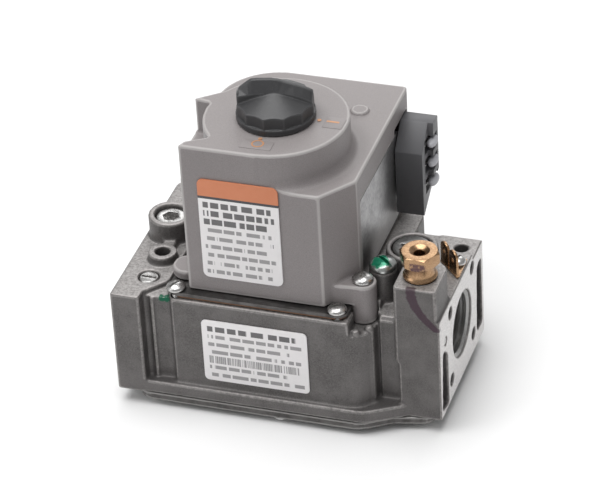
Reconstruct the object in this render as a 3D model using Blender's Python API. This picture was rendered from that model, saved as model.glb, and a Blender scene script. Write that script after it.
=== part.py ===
"""Combination gas valve: cast body, plastic control cover, knob, solenoids and fittings.

Sizes are in millimetres in the casting's datum frame and are turned into metres when an object
is made. The datum is at the inlet face (x = 0), the outlet block's front face (y = 0) and the
casting's machined underside (z = 0). +X runs from inlet to outlet, +Z is up, and the front,
which carries the two labels, faces -Y. The world's origin is under the valve's middle, on the
plane that the bottom plate rests on.
"""

import math

import bmesh
import bpy
from mathutils import Matrix
from mathutils import Vector

MM = 0.001
GAP = 0.3

# Driving sizes of the casting
LENGTH = 104.5
PORT_Y = 25.2
PORT_Z = 19.6
PORT_RADIUS = 10.8
PORT_DEPTH = 17.0
BOLT_SQUARE = 25.4
BODY_TOP = 35.9
INLET_TOP = 36.3
OUTLET_TOP = 36.8
OUTLET_REAR_TOP = 34.6
OUTLET_START = 91.0
OUTLET_DEPTH = 50.5
LABEL_WALL_Y = -5.6
FLANGE_FRONT_Y = -7.6
FLANGE_TOP = 4.3
REAR_Y = 65.0
REST_PLANE = -5.2
ORIGIN = (LENGTH / 2, PORT_Y, REST_PLANE)

# Main valve, on one vertical axis
CHAMBER = (46.0, 26.0)
CHAMBER_RADIUS = 20.0
SEAT_TOP = 12.0
SEAT_FLOOR = 10.0
PORT_PLATE_LOW = 23.8

# Bosses on the casting
TAP_BOSS = (8.0, 29.0)
TAP_BOSS_TOP = 44.0
RING_BOSS = (10.0, 14.6)
RING_BOSS_TOP = 39.2
SLOT_PLUG = (8.9, 4.3)
REGULATOR = (88.9, 25.6)
REGULATOR_RADIUS = 8.2
REGULATOR_TOP = 46.3
PILOT_SCREW = (82.8, 14.2)
PILOT_SCREW_TOP = 45.0
PILOT_FITTING = (96.6, 8.0)
PILOT_BOSS_TOP = 48.2
GROUND_SCREW = (101.7, 31.8)

# Plates and screws
GASKET_LOW = BODY_TOP + GAP
GASKET_HIGH = GASKET_LOW + 0.5
PLATE_LOW = GASKET_HIGH + GAP
PLATE_HIGH = PLATE_LOW + 1.1
TOP_SCREWS = {(20.4, -2.4): 3.1, (72.8, -2.4): 3.1, (38.0, 60.4): 2.5, (69.0, 60.4): 2.5}
BOTTOM_SCREWS = ((12.0, -2.6), (53.0, -3.6), (97.0, 5.0), (12.0, 51.0), (53.0, 55.4), (97.0, 46.0))
BOTTOM_PLATE_LOW = -3.4
BOTTOM_RIM_LOW = -2.9

# Control cover and knob
COVER_LOW = PLATE_HIGH + GAP
PLATEAU = 78.8
DIAL_TOP = 91.0
COVER_WALL = 2.0
COVER_FRONT_Y = -2.0
TURRET = (48.6, 20.8)
TURRET_RADIUS = 22.6
COVER_BOSS = (78.9, 5.5)
COVER_BOSS_LOW = 31.5
COVER_BOSS_TOP = 45.2
COVER_FOOT = (21.6, 6.6)
KNOB_RADIUS = 12.3
KNOB_POINTING = math.radians(13.4)
FLUTES = 12
GRIP_SHOULDER = 100.9
GRIP_RIDGE = ((-11.3, 100.2), (-10.9, 101.2), (-7, 104.35), (-0.6, 104.45), (2.8, 103.6),
              (8.8, 101.7), (11.3, 99.5))
STEM_RADIUS = 3.0

# Solenoids and their bracket
COILS = {"pilot": (36.0, 50.0), "main": (60.0, 50.0)}
BRACKET_X = 76.4
BRACKET_THICKNESS = 1.2
BRACKET_TOP = 68.3
YOKE_TOP = 67.2
BOBBIN_LOW = 41.9
BOBBIN_HIGH = 65.4
BRACKET_SCREWS = ((48.0, 48.5), (48.0, 54.8))
TERMINAL_LOW = 40.3
TERMINAL_HIGH = 71.3
TERMINAL_FRONT_Y = 50.3
TERMINAL_BACK_Y = 62.8
TERMINAL_PITCH = 7.2


# ---------------------------------------------------------------- scene and materials

def clear_scene():
    for old in list(bpy.data.objects):
        bpy.data.objects.remove(old)


def material(name, colour, roughness, metallic=0.0):
    made = bpy.data.materials.new(name)
    made.use_nodes = True
    shader = made.node_tree.nodes["Principled BSDF"]
    shader.inputs["Base Color"].default_value = (*colour, 1.0)
    shader.inputs["Roughness"].default_value = roughness
    shader.inputs["Metallic"].default_value = metallic
    made.diffuse_color = (*colour, 1.0)
    return made


def datum_frame():
    """The empty that carries the casting's datum frame; every piece is its child."""
    frame = bpy.data.objects.new("valve_datum", None)
    frame.location = Vector(ORIGIN) * -MM
    bpy.context.scene.collection.objects.link(frame)
    return frame


# ---------------------------------------------------------------- shapes, in millimetres

def rounded(corners, steps=5):
    """An XY outline from (x, y, radius) corners, each radius turned into an arc."""
    outline = []
    count = len(corners)
    for index, (x, y, radius) in enumerate(corners):
        corner = Vector((x, y))
        if radius <= 0:
            outline.append(corner)
            continue
        before = Vector(corners[index - 1][:2]) - corner
        after = Vector(corners[(index + 1) % count][:2]) - corner
        half = before.angle(after) / 2
        reach = radius / math.tan(half)
        first = corner + before.normalized() * reach
        last = corner + after.normalized() * reach
        middle = corner + (before.normalized() + after.normalized()).normalized() * (
            radius / math.sin(half))
        start = math.atan2(first.y - middle.y, first.x - middle.x)
        sweep = math.atan2(last.y - middle.y, last.x - middle.x) - start
        sweep = (sweep + math.pi) % (2 * math.pi) - math.pi
        for step in range(steps + 1):
            angle = start + sweep * step / steps
            outline.append(middle + radius * Vector((math.cos(angle), math.sin(angle))))
    return outline


def arc(centre, radius, start, end, steps):
    """Points on a circle from one angle to another, in degrees."""
    points = []
    for step in range(steps + 1):
        angle = math.radians(start + (end - start) * step / steps)
        points.append((centre[0] + radius * math.cos(angle), centre[1] + radius * math.sin(angle)))
    return points


def prism(outline, low, high):
    """An XY outline drawn up from low to high."""
    shape = bmesh.new()
    outline = [(round(point[0], 3), round(point[1], 3)) for point in outline]
    under = [shape.verts.new((*point, low)) for point in outline]
    over = [shape.verts.new((*point, high)) for point in outline]
    shape.faces.new(reversed(under))
    shape.faces.new(over)
    for index in range(len(outline)):
        after = (index + 1) % len(outline)
        shape.faces.new((under[index], under[after], over[after], over[index]))
    bmesh.ops.recalc_face_normals(shape, faces=shape.faces)
    return shape


def block(low, high):
    """A box between two opposite corners."""
    outline = ((low[0], low[1]), (high[0], low[1]), (high[0], high[1]), (low[0], high[1]))
    return prism(outline, low[2], high[2])


def side_prism(outline, low, high, axis="Y"):
    """A ZX or ZY outline drawn along Y or X: outline points are (x or y, z)."""
    shape = prism(outline, low, high)
    for vert in shape.verts:
        across, up, along = vert.co
        vert.co = (across, along, up) if axis == "Y" else (along, across, up)
    shape.normal_update()
    bmesh.ops.recalc_face_normals(shape, faces=shape.faces)
    return shape


def turned(profile, sides=24, centre=(0, 0)):
    """A (radius, z) profile turned about the vertical line through centre.

    A profile that starts and ends on the axis makes a solid of revolution, and any other
    profile is closed on itself and makes a ring.
    """
    shape = bmesh.new()
    rings = []
    for radius, height in profile:
        if radius <= 0:
            rings.append([shape.verts.new((centre[0], centre[1], height))])
            continue
        ring = []
        for side in range(sides):
            angle = 2 * math.pi * side / sides
            spot = (centre[0] + radius * math.cos(angle), centre[1] + radius * math.sin(angle))
            ring.append(shape.verts.new((*spot, height)))
        rings.append(ring)
    pairs = list(zip(rings, rings[1:]))
    if profile[0][0] > 0:
        pairs.append((rings[-1], rings[0]))
    for lower, upper in pairs:
        for side in range(sides):
            after = (side + 1) % sides
            if len(lower) == 1:
                shape.faces.new((lower[0], upper[after], upper[side]))
            elif len(upper) == 1:
                shape.faces.new((lower[side], lower[after], upper[0]))
            else:
                shape.faces.new((lower[side], lower[after], upper[after], upper[side]))
    bmesh.ops.recalc_face_normals(shape, faces=shape.faces)
    return shape


def disc(centre, radius, low, high, sides=24):
    """An upright cylinder."""
    return prism(arc(centre, radius, 0, 360, sides)[:-1], low, high)


def aimed(shape, start, direction):
    """Moves a shape built along +Z so that it starts at a point and runs along a direction."""
    turn = Vector((0, 0, 1)).rotation_difference(Vector(direction)).to_matrix().to_4x4()
    bmesh.ops.transform(shape, matrix=Matrix.Translation(start) @ turn, verts=shape.verts)
    return shape


def rod(start, end, radius, sides=24):
    """A cylinder between two points."""
    along = Vector(end) - Vector(start)
    return aimed(disc((0, 0), radius, 0, along.length, sides), start, along)


def helix(radius, wire, low, high, turns, steps=12, sides=6):
    """A compression spring's wire, whose end turns are nearly closed."""
    shape = bmesh.new()
    closed = 2.3 * wire
    open_pitch = (high - low - 2 * wire - 2 * closed) / (turns - 2)
    rings = []
    for step in range(turns * steps + 1):
        turn = step / steps
        angle = 2 * math.pi * turn
        height = low + wire + closed * min(turn, 1)
        height += open_pitch * min(max(turn - 1, 0), turns - 2)
        height += closed * max(turn - turns + 1, 0)
        out = Vector((math.cos(angle), math.sin(angle), 0))
        middle = out * radius + Vector((0, 0, height))
        ring = []
        for side in range(sides):
            around = 2 * math.pi * side / sides
            offset = out * math.cos(around) + Vector((0, 0, math.sin(around)))
            ring.append(shape.verts.new(middle + offset * wire))
        rings.append(ring)
    for lower, upper in zip(rings, rings[1:]):
        for side in range(sides):
            after = (side + 1) % sides
            shape.faces.new((lower[side], lower[after], upper[after], upper[side]))
    shape.faces.new(rings[0])
    shape.faces.new(rings[-1])
    bmesh.ops.recalc_face_normals(shape, faces=shape.faces)
    return shape


# ---------------------------------------------------------------- objects

def piece(name, shape, finish, at=(0, 0, 0)):
    """Makes a named object; the shape's numbers are measured from the object's own origin."""
    mesh = bpy.data.meshes.new(name)
    bmesh.ops.scale(shape, vec=(MM, MM, MM), verts=shape.verts)
    shape.to_mesh(mesh)
    shape.free()
    mesh.materials.append(finish)
    mesh.shade_smooth()
    mesh.set_sharp_from_angle(angle=math.radians(35))
    made = bpy.data.objects.new(name, mesh)
    made.location = Vector(at) * MM
    made.parent = DATUM
    bpy.context.scene.collection.objects.link(made)
    return made


def boolean(target, shape, operation):
    """Adds a shape to a piece, or cuts it away; the shape is in the datum frame."""
    tool = piece(f"{target.name}_tool", shape, target.data.materials[0])
    tool.hide_render = True
    tool.hide_viewport = False
    tool.display_type = "WIRE"
    change = target.modifiers.new(tool.name, "BOOLEAN")
    change.operation = operation
    change.solver = "EXACT"
    change.object = tool


def add(target, *shapes):
    for shape in shapes:
        boolean(target, shape, "UNION")


def cut(target, *shapes):
    for shape in shapes:
        boolean(target, shape, "DIFFERENCE")


def screw(name, spot, head_low, finish, head=(3.1, 1.9), shank=(1.5, 6.0), drive="slot", up=1):
    """A machine screw with a domed head; up is -1 for one that goes in from below."""
    radius, height = head
    thick, length = shank
    profile = [(0, -length), (thick, -length), (thick, 0), (radius, 0), (radius, height * 0.45)]
    profile += [(radius * 0.7, height), (0, height)]
    shape = turned(profile, 12)
    if up < 0:
        bmesh.ops.transform(shape, matrix=Matrix.Rotation(math.pi, 4, "X"), verts=shape.verts)
    made = piece(name, shape, finish, (*spot, head_low))
    top = head_low + up * height
    deep = top - up * height * 0.5
    low = min(deep, top + up)
    high = max(deep, top + up)
    if drive == "slot":
        cut(made, block((spot[0] - radius * 1.1, spot[1] - 0.45, low),
                        (spot[0] + radius * 1.1, spot[1] + 0.45, high)))
    else:
        cut(made, disc(spot, 1.25, low, high, 6))
    return made


# ---------------------------------------------------------------- casting

def casting_blocks():
    """The solid masses that the casting is made of."""
    bulge = rounded(((17.5, LABEL_WALL_Y + 4, 0), (19.5, LABEL_WALL_Y, 0.8), (83.5, LABEL_WALL_Y, 8),
                     (83.5, 58, 4), (76, REAR_Y, 4), (16.5, REAR_Y, 5)))
    flange = rounded(((0.4, FLANGE_FRONT_Y, 1.2), (81, FLANGE_FRONT_Y, 9), (96, 1.0, 3),
                      (96, 48, 4), (84, REAR_Y + 0.3, 6), (15, REAR_Y + 0.3, 6), (0.4, 57.5, 2)))
    inlet = rounded(((0, -7.8, 0.6), (9.6, -7.8, 0.8), (9.6, -3.8, 1.2), (15.8, 3.4, 2.5),
                     (15.8, 58, 2), (0, 58, 2)))
    pilot_boss = rounded(((90, 0, 0.5), (LENGTH - 0.9, 0, 0.5), (LENGTH - 0.9, 14, 3),
                          (98, 19, 3), (90, 19, 1)), 3)
    web = rounded(((12.0, -4.6, 0.4), (13.2, -4.6, 0.4), (13.2, 0, 0), (12.0, 0, 0)), 3)
    yield prism(flange, 0, FLANGE_TOP)
    yield prism(inlet, 0, INLET_TOP)
    yield block((4, -3.6, 0), (24, 56, BODY_TOP - 1.2))
    yield prism(web, 0.5, BODY_TOP - 1.4)
    yield block((72, 3.4, 0), (94, 50, BODY_TOP - 1.5))
    yield block((OUTLET_START, 0, 0), (LENGTH, 39, OUTLET_TOP))
    yield block((OUTLET_START, 30, 0), (LENGTH, OUTLET_DEPTH, OUTLET_REAR_TOP))
    yield prism(pilot_boss, 20, PILOT_BOSS_TOP)
    yield disc(REGULATOR, REGULATOR_RADIUS, 20, REGULATOR_TOP, 28)
    yield disc(PILOT_SCREW, 4.4, 20, PILOT_SCREW_TOP, 20)
    yield disc(TAP_BOSS, 7.2, 20, TAP_BOSS_TOP, 24)
    yield disc(RING_BOSS, 4.6, 30, RING_BOSS_TOP, 20)
    yield block((RING_BOSS[0] - 2.2, RING_BOSS[1] + 2, 30), (TAP_BOSS[0] + 4, TAP_BOSS[1] - 4, 38.2))
    yield block((84.6, 2.2, 3), (90.2, 5, BODY_TOP - 2.4))
    yield bulge_solid(bulge)


def bulge_solid(outline):
    return prism(outline, 0.2, BODY_TOP)


def casting_ports():
    """Both threaded ports' bores and the passages between them and the valve chamber."""
    spot = (PORT_Y, PORT_Z)
    yield rod((-1, *spot), (PORT_DEPTH, *spot), PORT_RADIUS, 28)
    yield rod((LENGTH - PORT_DEPTH, *spot), (LENGTH + 1, *spot), PORT_RADIUS, 28)
    yield rod((PORT_DEPTH - 4, PORT_Y, 29.6), (30, PORT_Y, 29.6), 4.6, 12)
    duct = ((58, 1.2), (66, 1.6), (89, 10.5), (89, 24), (68, 6.6), (58, 5.6))
    yield side_prism(duct, PORT_Y - 9, PORT_Y + 9)


def casting_chamber():
    """The main valve's chambers, one below the seat and one above it, turned in one piece."""
    narrow = CHAMBER_RADIUS - 2
    step = PORT_PLATE_LOW - GAP
    return turned(((0, -1), (22.5, -1), (22.5, 7), (9, 7), (9, SEAT_TOP), (12, SEAT_TOP),
                   (13, SEAT_FLOOR), (narrow, SEAT_FLOOR), (narrow, step), (CHAMBER_RADIUS, step),
                   (CHAMBER_RADIUS, BODY_TOP + 1), (0, BODY_TOP + 1)), 32, CHAMBER)


def casting_holes():
    """Bolt holes, plug and screw holes and the lightening pockets."""
    half = BOLT_SQUARE / 2
    for across in (PORT_Y - half, PORT_Y + half):
        for up in (PORT_Z - half, PORT_Z + half):
            yield rod((LENGTH - 11, across, up), (LENGTH + 1, across, up), 2.1, 10)
            yield rod((-1, across, up), (11, across, up), 2.1, 10)
    yield rod((LENGTH - 4, 6.6, 25.8), (LENGTH + 1, 6.6, 25.8), 1.5, 8)
    yield side_prism(rounded(((1.6, 2.5, 1), (8.6, 0.8, 1), (8.2, 20, 1.5), (3.4, 24, 1)), 3),
                     LENGTH - 5, LENGTH + 1, "X")
    yield side_prism(rounded(((42, 4.5, 2), (48.6, 4.5, 1.5), (48.6, 29, 1.5), (43.5, 29, 2)), 3),
                     LENGTH - 6, LENGTH + 1, "X")
    yield disc((99.2, 44.6), 2.2, 30, 40, 12)
    yield disc(RING_BOSS, 2.5, 24, 41, 12)
    yield disc(TAP_BOSS, 5.2, TAP_BOSS_TOP - 7, TAP_BOSS_TOP + 1, 20)
    yield disc(TAP_BOSS, 0.8, 27, TAP_BOSS_TOP - 6, 8)
    yield disc(SLOT_PLUG, 3.4, INLET_TOP - 5, INLET_TOP + 1, 16)
    yield disc(REGULATOR, 6.6, REGULATOR_TOP - 15, REGULATOR_TOP + 1, 24)
    yield disc(PILOT_SCREW, 3.2, PILOT_SCREW_TOP - 12, PILOT_SCREW_TOP + 1, 16)
    yield disc(PILOT_FITTING, 5.0, PILOT_BOSS_TOP - 8, PILOT_BOSS_TOP + 1, 20)
    yield disc(GROUND_SCREW, 1.9, 31, 40, 10)
    for spot in (*TOP_SCREWS, *BRACKET_SCREWS):
        yield disc(spot, 1.9, BODY_TOP - 6.5, BODY_TOP + 1, 10)
    for spot in BOTTOM_SCREWS:
        yield disc(spot, 1.9, -1, 4.0, 10)
    yield disc(COVER_BOSS, 1.9, 22, COVER_BOSS_LOW, 10)
    corner = arc(COVER_BOSS, 4.5, -10, 235, 12) + [(76.9, 1.2), (76.9, -9), (84.3, -9), (84.3, 4.6)]
    yield prism(corner, COVER_BOSS_LOW - GAP, BODY_TOP + 1)


def valve_body(finish):
    body = piece("valve_body", prism(rounded(((2, -3, 1), (90, 6, 1), (90, 45, 1), (2, 50, 1))),
                                     0.5, 30), finish)
    add(body, *casting_blocks())
    cut(body, *casting_ports())
    cut(body, casting_chamber())
    cut(body, *casting_holes())
    return body


# ---------------------------------------------------------------- plates below and above

def bottom_plate(finish):
    outline = rounded(((6.5, -7.2, 4), (80, -7.2, 8), (89, -1.6, 5), (101.5, 1.2, 4), (101.5, 49, 4),
                       (88, 59.5, 6), (6.5, 56, 5)))
    plate = piece("bottom_plate", prism(outline, BOTTOM_RIM_LOW, -GAP), finish)
    pressed = rounded(((18, -6.9, 0.5), (79, -6.9, 7), (90, 2, 4), (90, 47, 4), (83, 55, 6), (18, 55, 5)))
    add(plate, prism(pressed, BOTTOM_PLATE_LOW, -1.1))
    add(plate, turned(((0, REST_PLANE), (21.6, REST_PLANE), (23.2, BOTTOM_PLATE_LOW - 0.1),
                       (23.2, -2), (0, -2)), 32, CHAMBER))
    for spot in BOTTOM_SCREWS:
        add(plate, disc(spot, 3.6, BOTTOM_PLATE_LOW - 0.1, -0.9, 12))
    cut(plate, turned(((0, -3.7), (20.4, -3.7), (20.4, -1.5), (28, -1.5), (28, 1), (0, 1)), 32, CHAMBER))
    for spot in BOTTOM_SCREWS:
        cut(plate, disc(spot, 1.9, -7, 1, 8))
    return plate


def main_diaphragm(finish):
    """A moulded disc: its rim is clamped, and its middle stands a little above the rim."""
    rim_low = -1.5 + GAP
    profile = ((27.6, rim_low), (27.6, -GAP), (20, -GAP), (16.5, 1.3), (14.5, 1.3), (12.5, 0.9),
               (2.4, 0.9), (2.4, 0.1), (12.5, 0.1), (14.5, 0.5), (16.3, 0.5), (19.8, rim_low))
    return piece("main_diaphragm", turned(profile, 24), finish, (*CHAMBER, 0))


def plate_outline(inset):
    return rounded(((17.6 + inset, -4.8 + inset, 4), (76.4 - inset, -4.8 + inset, 3.4),
                    (76.4 - inset, 1.4 - inset, 0.6), (74.4 - inset, 2.6 - inset, 1),
                    (74.4 - inset, 11.8, 1), (76.2 - inset, 12.8, 1), (76.2 - inset, 64 - inset, 4),
                    (17.6 + inset, 64.4 - inset, 4)), 3)


def top_sheet(name, low, high, inset, stem_hole, finish):
    """The gasket and the steel plate share one outline, screw pattern and stem hole."""
    sheet = piece(name, prism(plate_outline(inset), low, high), finish)
    cut(sheet, disc(TURRET, stem_hole, low - 1, high + 1, 16))
    for spot in (*TOP_SCREWS, *BRACKET_SCREWS):
        cut(sheet, disc(spot, 1.9, low - 1, high + 1, 10))
    return sheet


# ---------------------------------------------------------------- main valve and rotary shut-off

def port_plate(finish):
    """The fixed ported disc that the knob's rotary disc slides over."""
    high = PORT_PLATE_LOW + 1.5
    plate = piece("port_plate", disc(CHAMBER, CHAMBER_RADIUS - GAP, PORT_PLATE_LOW, high, 32), finish)
    cut(plate, *rotary_ports(PORT_PLATE_LOW - 1, high + 1))
    return plate


def rotary_ports(low, high):
    """Two part-ring ports about the knob's axis, which line up while the knob points to ON."""
    for start in (20, 200):
        outline = arc(TURRET, 11.0, start, start + 50, 6) + arc(TURRET, 5.5, start + 50, start, 6)
        yield prism(outline, low, high)


def rotary_disc(finish):
    low = PORT_PLATE_LOW + 1.5 + GAP
    profile = ((0, 0), (12.5, 0), (12.5, 2), (5, 2), (5, 4), (0, 4))
    made = piece("rotary_shutoff_disc", turned(profile, 20), finish, (*TURRET, low))
    cut(made, *rotary_ports(low - 1, low + 5))
    cut(made, block((TURRET[0] - 1.6, TURRET[1] - 1.6, low + 1),
                    (TURRET[0] + 1.6, TURRET[1] + 1.6, low + 6)))
    return made


def knob_stem(finish):
    """The stem: a square tang into the rotary disc, a seal groove and a round shaft."""
    low = PORT_PLATE_LOW + 1.5 + GAP + 4 + GAP
    profile = ((0, low), (STEM_RADIUS, low), (STEM_RADIUS, 34.6), (2.1, 34.6), (2.1, 36.0),
               (STEM_RADIUS, 36.0), (STEM_RADIUS, DIAL_TOP + 8), (0, DIAL_TOP + 8))
    stem = piece("knob_stem", turned(profile, 16), finish, (*TURRET, 0))
    half = 1.3
    add(stem, block((TURRET[0] - half, TURRET[1] - half, low - 3.0),
                    (TURRET[0] + half, TURRET[1] + half, low + 1)))
    return stem


def stem_seal(finish):
    """The rubber ring in the top plate's stem hole."""
    low = PLATE_LOW + 0.1
    profile = ((STEM_RADIUS + 0.3, low), (4.0, low - 0.2), (4.3, low + 0.4), (4.0, low + 0.9),
               (STEM_RADIUS + 0.3, low + 0.8))
    return piece("stem_seal", turned(profile, 16), finish, (*TURRET, 0))


def main_valve_stem(finish):
    profile = ((0, -0.9), (3.4, -0.9), (3.4, -0.2), (2.1, -0.2), (2.1, 3.4), (3.2, 3.4), (3.2, 4.6),
               (2.1, 4.6), (2.1, 11.4), (3.2, 11.4), (3.2, 12.0), (2.1, 12.0), (2.1, 20.5), (0, 20.5))
    return piece("main_valve_stem", turned(profile, 14), finish, (*CHAMBER, 0))


def diaphragm_plate(finish):
    profile = ((2.4, 1.6), (11.5, 1.6), (12.4, 2.2), (12.4, 2.9), (11.4, 2.9), (11.0, 2.5),
               (2.4, 2.5))
    return piece("diaphragm_plate", turned(profile, 20), finish, (*CHAMBER, 0))


def main_valve_disc(finish):
    low = SEAT_TOP + GAP
    profile = ((2.4, low), (11.4, low), (11.4, low + 1.6), (6.0, low + 2.5), (2.4, low + 2.5))
    return piece("main_valve_disc", turned(profile, 20), finish, (*CHAMBER, 0))


def inlet_screen(finish):
    """A round strainer disc at the bottom of the inlet port."""
    across = PORT_DEPTH - 1.4
    screen = piece("inlet_screen", rod((across, PORT_Y, PORT_Z), (across + 0.8, PORT_Y, PORT_Z),
                                       PORT_RADIUS - GAP, 24), finish)
    pitch = 4.6
    for row in range(-1, 2):
        for column in range(-1, 2):
            spot = (PORT_Y + column * pitch, PORT_Z + row * pitch)
            cut(screen, rod((across - 1, *spot), (across + 2, *spot), 1.8, 6))
    return screen


# ---------------------------------------------------------------- cover and knob

def cover_outline(inset):
    """The cover's plan, inside its outer face by inset: chamfered right front, round left rear."""
    left = 20.2 + inset
    front = COVER_FRONT_Y + inset
    right = 77.1 - inset
    cant = inset * 0.38
    return rounded(((24.4 + inset, front, 0.8), (68.4 - cant, front, 0.8), (right, 9.4 + cant, 0.8),
                    (right, 65.4 - inset, 1.5), (left, 65.4 - inset, 19), (left, 14, 1),
                    (24.4 + inset, 9, 1)))


def turret_blocks():
    """The raised dial: a round tower, square at its front left, with a wing at its rear left."""
    front_left = [(24.4, COVER_FRONT_Y), (49.0, COVER_FRONT_Y), TURRET, (31.9, 4.9), (25.6, 1.1)]
    wing = [(20.5, 24.9), TURRET, (48, 43), (40.2, 42.6), (32.3, 34.4)]
    return front_left, wing


def control_cover(finish):
    cover = piece("control_cover", prism(cover_outline(0), COVER_LOW, PLATEAU), finish)
    front_left, wing = turret_blocks()
    foot = disc(COVER_FOOT, 4.8, COVER_LOW, 41.6, 20)
    web = rounded(((66, 0.4, 0), (79.4, 1.4, 2), (82.6, 6, 1), (80.6, 8.9, 1), (70, 8.9, 0)), 3)
    add(cover, disc(TURRET, TURRET_RADIUS, 70, DIAL_TOP, 48))
    add(cover, prism(front_left, 70, DIAL_TOP))
    add(cover, prism(wing, 70, DIAL_TOP))
    add(cover, foot)
    add(cover, prism(web, COVER_LOW, COVER_BOSS_TOP))
    add(cover, disc(COVER_BOSS, 4.2, COVER_BOSS_LOW, COVER_BOSS_TOP, 24))
    add(cover, disc((66.7, 47.6), 2.7, 77, PLATEAU + 1.0, 24))
    cut(cover, prism(cover_outline(COVER_WALL), COVER_LOW - 2, PLATEAU - COVER_WALL))
    cut(cover, disc(TURRET, TURRET_RADIUS - COVER_WALL, 60, DIAL_TOP - 2.6, 40))
    cut(cover, block((74, 12.6, COVER_LOW - 1), (80, 63.4, 69.6)))
    cut(cover, block((75.4, TERMINAL_FRONT_Y - 0.6, 60), (80, 63.4, TERMINAL_HIGH + 0.5)))
    cut(cover, disc(TURRET, STEM_RADIUS + 0.4, 80, DIAL_TOP + 1))
    cut(cover, disc(COVER_BOSS, 1.9, 30, 50, 12))
    return cover


def grip_bar():
    """The knob's grip: upright sides, bevels up to a narrow ridge, and a nose that slopes down."""
    turn = Matrix.Rotation(KNOB_POINTING, 4, "Z")
    shape = bmesh.new()
    sections = []
    for along, ridge in GRIP_RIDGE:
        shoulder = GRIP_SHOULDER - 1.8 * (along / 11.6) ** 2
        section = ((-3, 94), (-3, shoulder), (-0.6, ridge), (0.6, ridge), (3, shoulder), (3, 94))
        sections.append([shape.verts.new((along, across, high)) for across, high in section])
    for first, second in zip(sections, sections[1:]):
        for index in range(len(first)):
            after = (index + 1) % len(first)
            shape.faces.new((first[index], first[after], second[after], second[index]))
    shape.faces.new(sections[0])
    shape.faces.new(sections[-1])
    bmesh.ops.transform(shape, matrix=Matrix.Translation((*TURRET, 0)) @ turn, verts=shape.verts)
    bmesh.ops.recalc_face_normals(shape, faces=shape.faces)
    return shape


def control_knob(finish):
    """A base rim, a wall with twelve flutes, a cone above it and the grip bar across the cone."""
    low = DIAL_TOP + GAP
    knob = piece("control_knob", turned(((0, 0), (KNOB_RADIUS, 0), (KNOB_RADIUS, 1.9), (0, 1.9)), 36),
                 finish, (*TURRET, low))
    outline = []
    for step in range(FLUTES * 4):
        angle = 2 * math.pi * (step + 0.4) / (FLUTES * 4)
        radius = KNOB_RADIUS - (0.2, 0.75, 1.0, 0.75)[step % 4]
        outline.append((TURRET[0] + radius * math.cos(angle), TURRET[1] + radius * math.sin(angle)))
    add(knob, prism(outline, low + 1, 97.4))
    cone = turned(((0, 102.2), (3, 100.9), (14, 96.1), (14, 106), (0, 106)), 36, TURRET)
    add(knob, turned(((0, 96), (11, 96), (11, 97.4), (3, 100.9), (0, 100.9)), 36, TURRET))
    cut(knob, cone)
    add(knob, grip_bar())
    cut(knob, disc(TURRET, STEM_RADIUS + GAP, low - 1, DIAL_TOP + 8 + GAP, 20))
    return knob


# ---------------------------------------------------------------- solenoids, bracket, terminals

def solenoid_bracket(finish):
    """A C-shaped zinc-plated yoke: foot on the top plate, upright at the right, arm over the coils."""
    left = 27.5
    inner = BRACKET_X - BRACKET_THICKNESS
    foot_high = COVER_LOW + BRACKET_THICKNESS
    upright = rounded(((13.6, COVER_LOW, 3), (56.6, COVER_LOW, 6), (56.6, BRACKET_TOP, 2),
                       (13.6, BRACKET_TOP, 2)))
    bracket = piece("solenoid_bracket", side_prism(upright, inner, BRACKET_X, "X"), finish)
    right = BRACKET_X - 0.5
    foot = rounded(((left, 39.5, 2), (right, 39.5, 0), (right, 57.4, 0), (left, 57.4, 2)))
    arm = rounded(((left, 40.5, 2), (right, 40.5, 0), (right, 56, 0), (left, 56, 2)))
    add(bracket, prism(foot, COVER_LOW, foot_high))
    add(bracket, prism(arm, YOKE_TOP - BRACKET_THICKNESS, YOKE_TOP))
    for spot in COILS.values():
        cut(bracket, disc(spot, 4.1, COVER_LOW - 1, foot_high + 1, 20))
        cut(bracket, disc(spot, 2.8, YOKE_TOP - 3, YOKE_TOP + 1, 16))
    for spot in BRACKET_SCREWS:
        cut(bracket, disc(spot, 1.9, COVER_LOW - 1, foot_high + 1, 12))
    return bracket


def solenoid(kind, spot, plastic, copper, steel, spring_steel):
    """One operator: bobbin, winding, fixed core, plunger and return spring."""
    bobbin = ((4.2, BOBBIN_LOW), (10.6, BOBBIN_LOW), (10.6, BOBBIN_LOW + 1.3), (5.4, BOBBIN_LOW + 1.3),
              (5.4, BOBBIN_HIGH - 1.3), (10.6, BOBBIN_HIGH - 1.3), (10.6, BOBBIN_HIGH), (4.2, BOBBIN_HIGH))
    low = BOBBIN_LOW + 1.3 + GAP
    high = BOBBIN_HIGH - 1.3 - GAP
    winding = ((5.7, low), (9.8, low), (9.8, high), (5.7, high))
    gap_low = 53.4
    gap_high = 55.4
    plunger = ((0, 39.4), (3.7, 39.4), (3.7, gap_low), (2.4, gap_low), (2.4, 45.0), (0, 45.0))
    core = ((0, gap_high), (3.8, gap_high), (3.8, YOKE_TOP - BRACKET_THICKNESS - GAP),
            (2.5, YOKE_TOP - BRACKET_THICKNESS - GAP), (2.5, YOKE_TOP + 1.6), (0, YOKE_TOP + 1.6))
    piece(f"{kind}_coil_bobbin", turned(bobbin, 18), plastic, (*spot, 0))
    piece(f"{kind}_coil_winding", turned(winding, 18), copper, (*spot, 0))
    piece(f"{kind}_coil_core", turned(core, 14), steel, (*spot, 0))
    piece(f"{kind}_plunger", turned(plunger, 14), steel, (*spot, 0))
    spring = helix(1.7, 0.3, 45.0 + GAP, gap_high - GAP, 6, 8, 4)
    piece(f"{kind}_plunger_spring", spring, spring_steel, (*spot, 0))


def terminal_spots():
    """Heights of the three spade tabs."""
    middle = (TERMINAL_LOW + TERMINAL_HIGH) / 2 + 1.0
    return [middle + TERMINAL_PITCH * step for step in (-1, 0, 1)]


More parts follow.
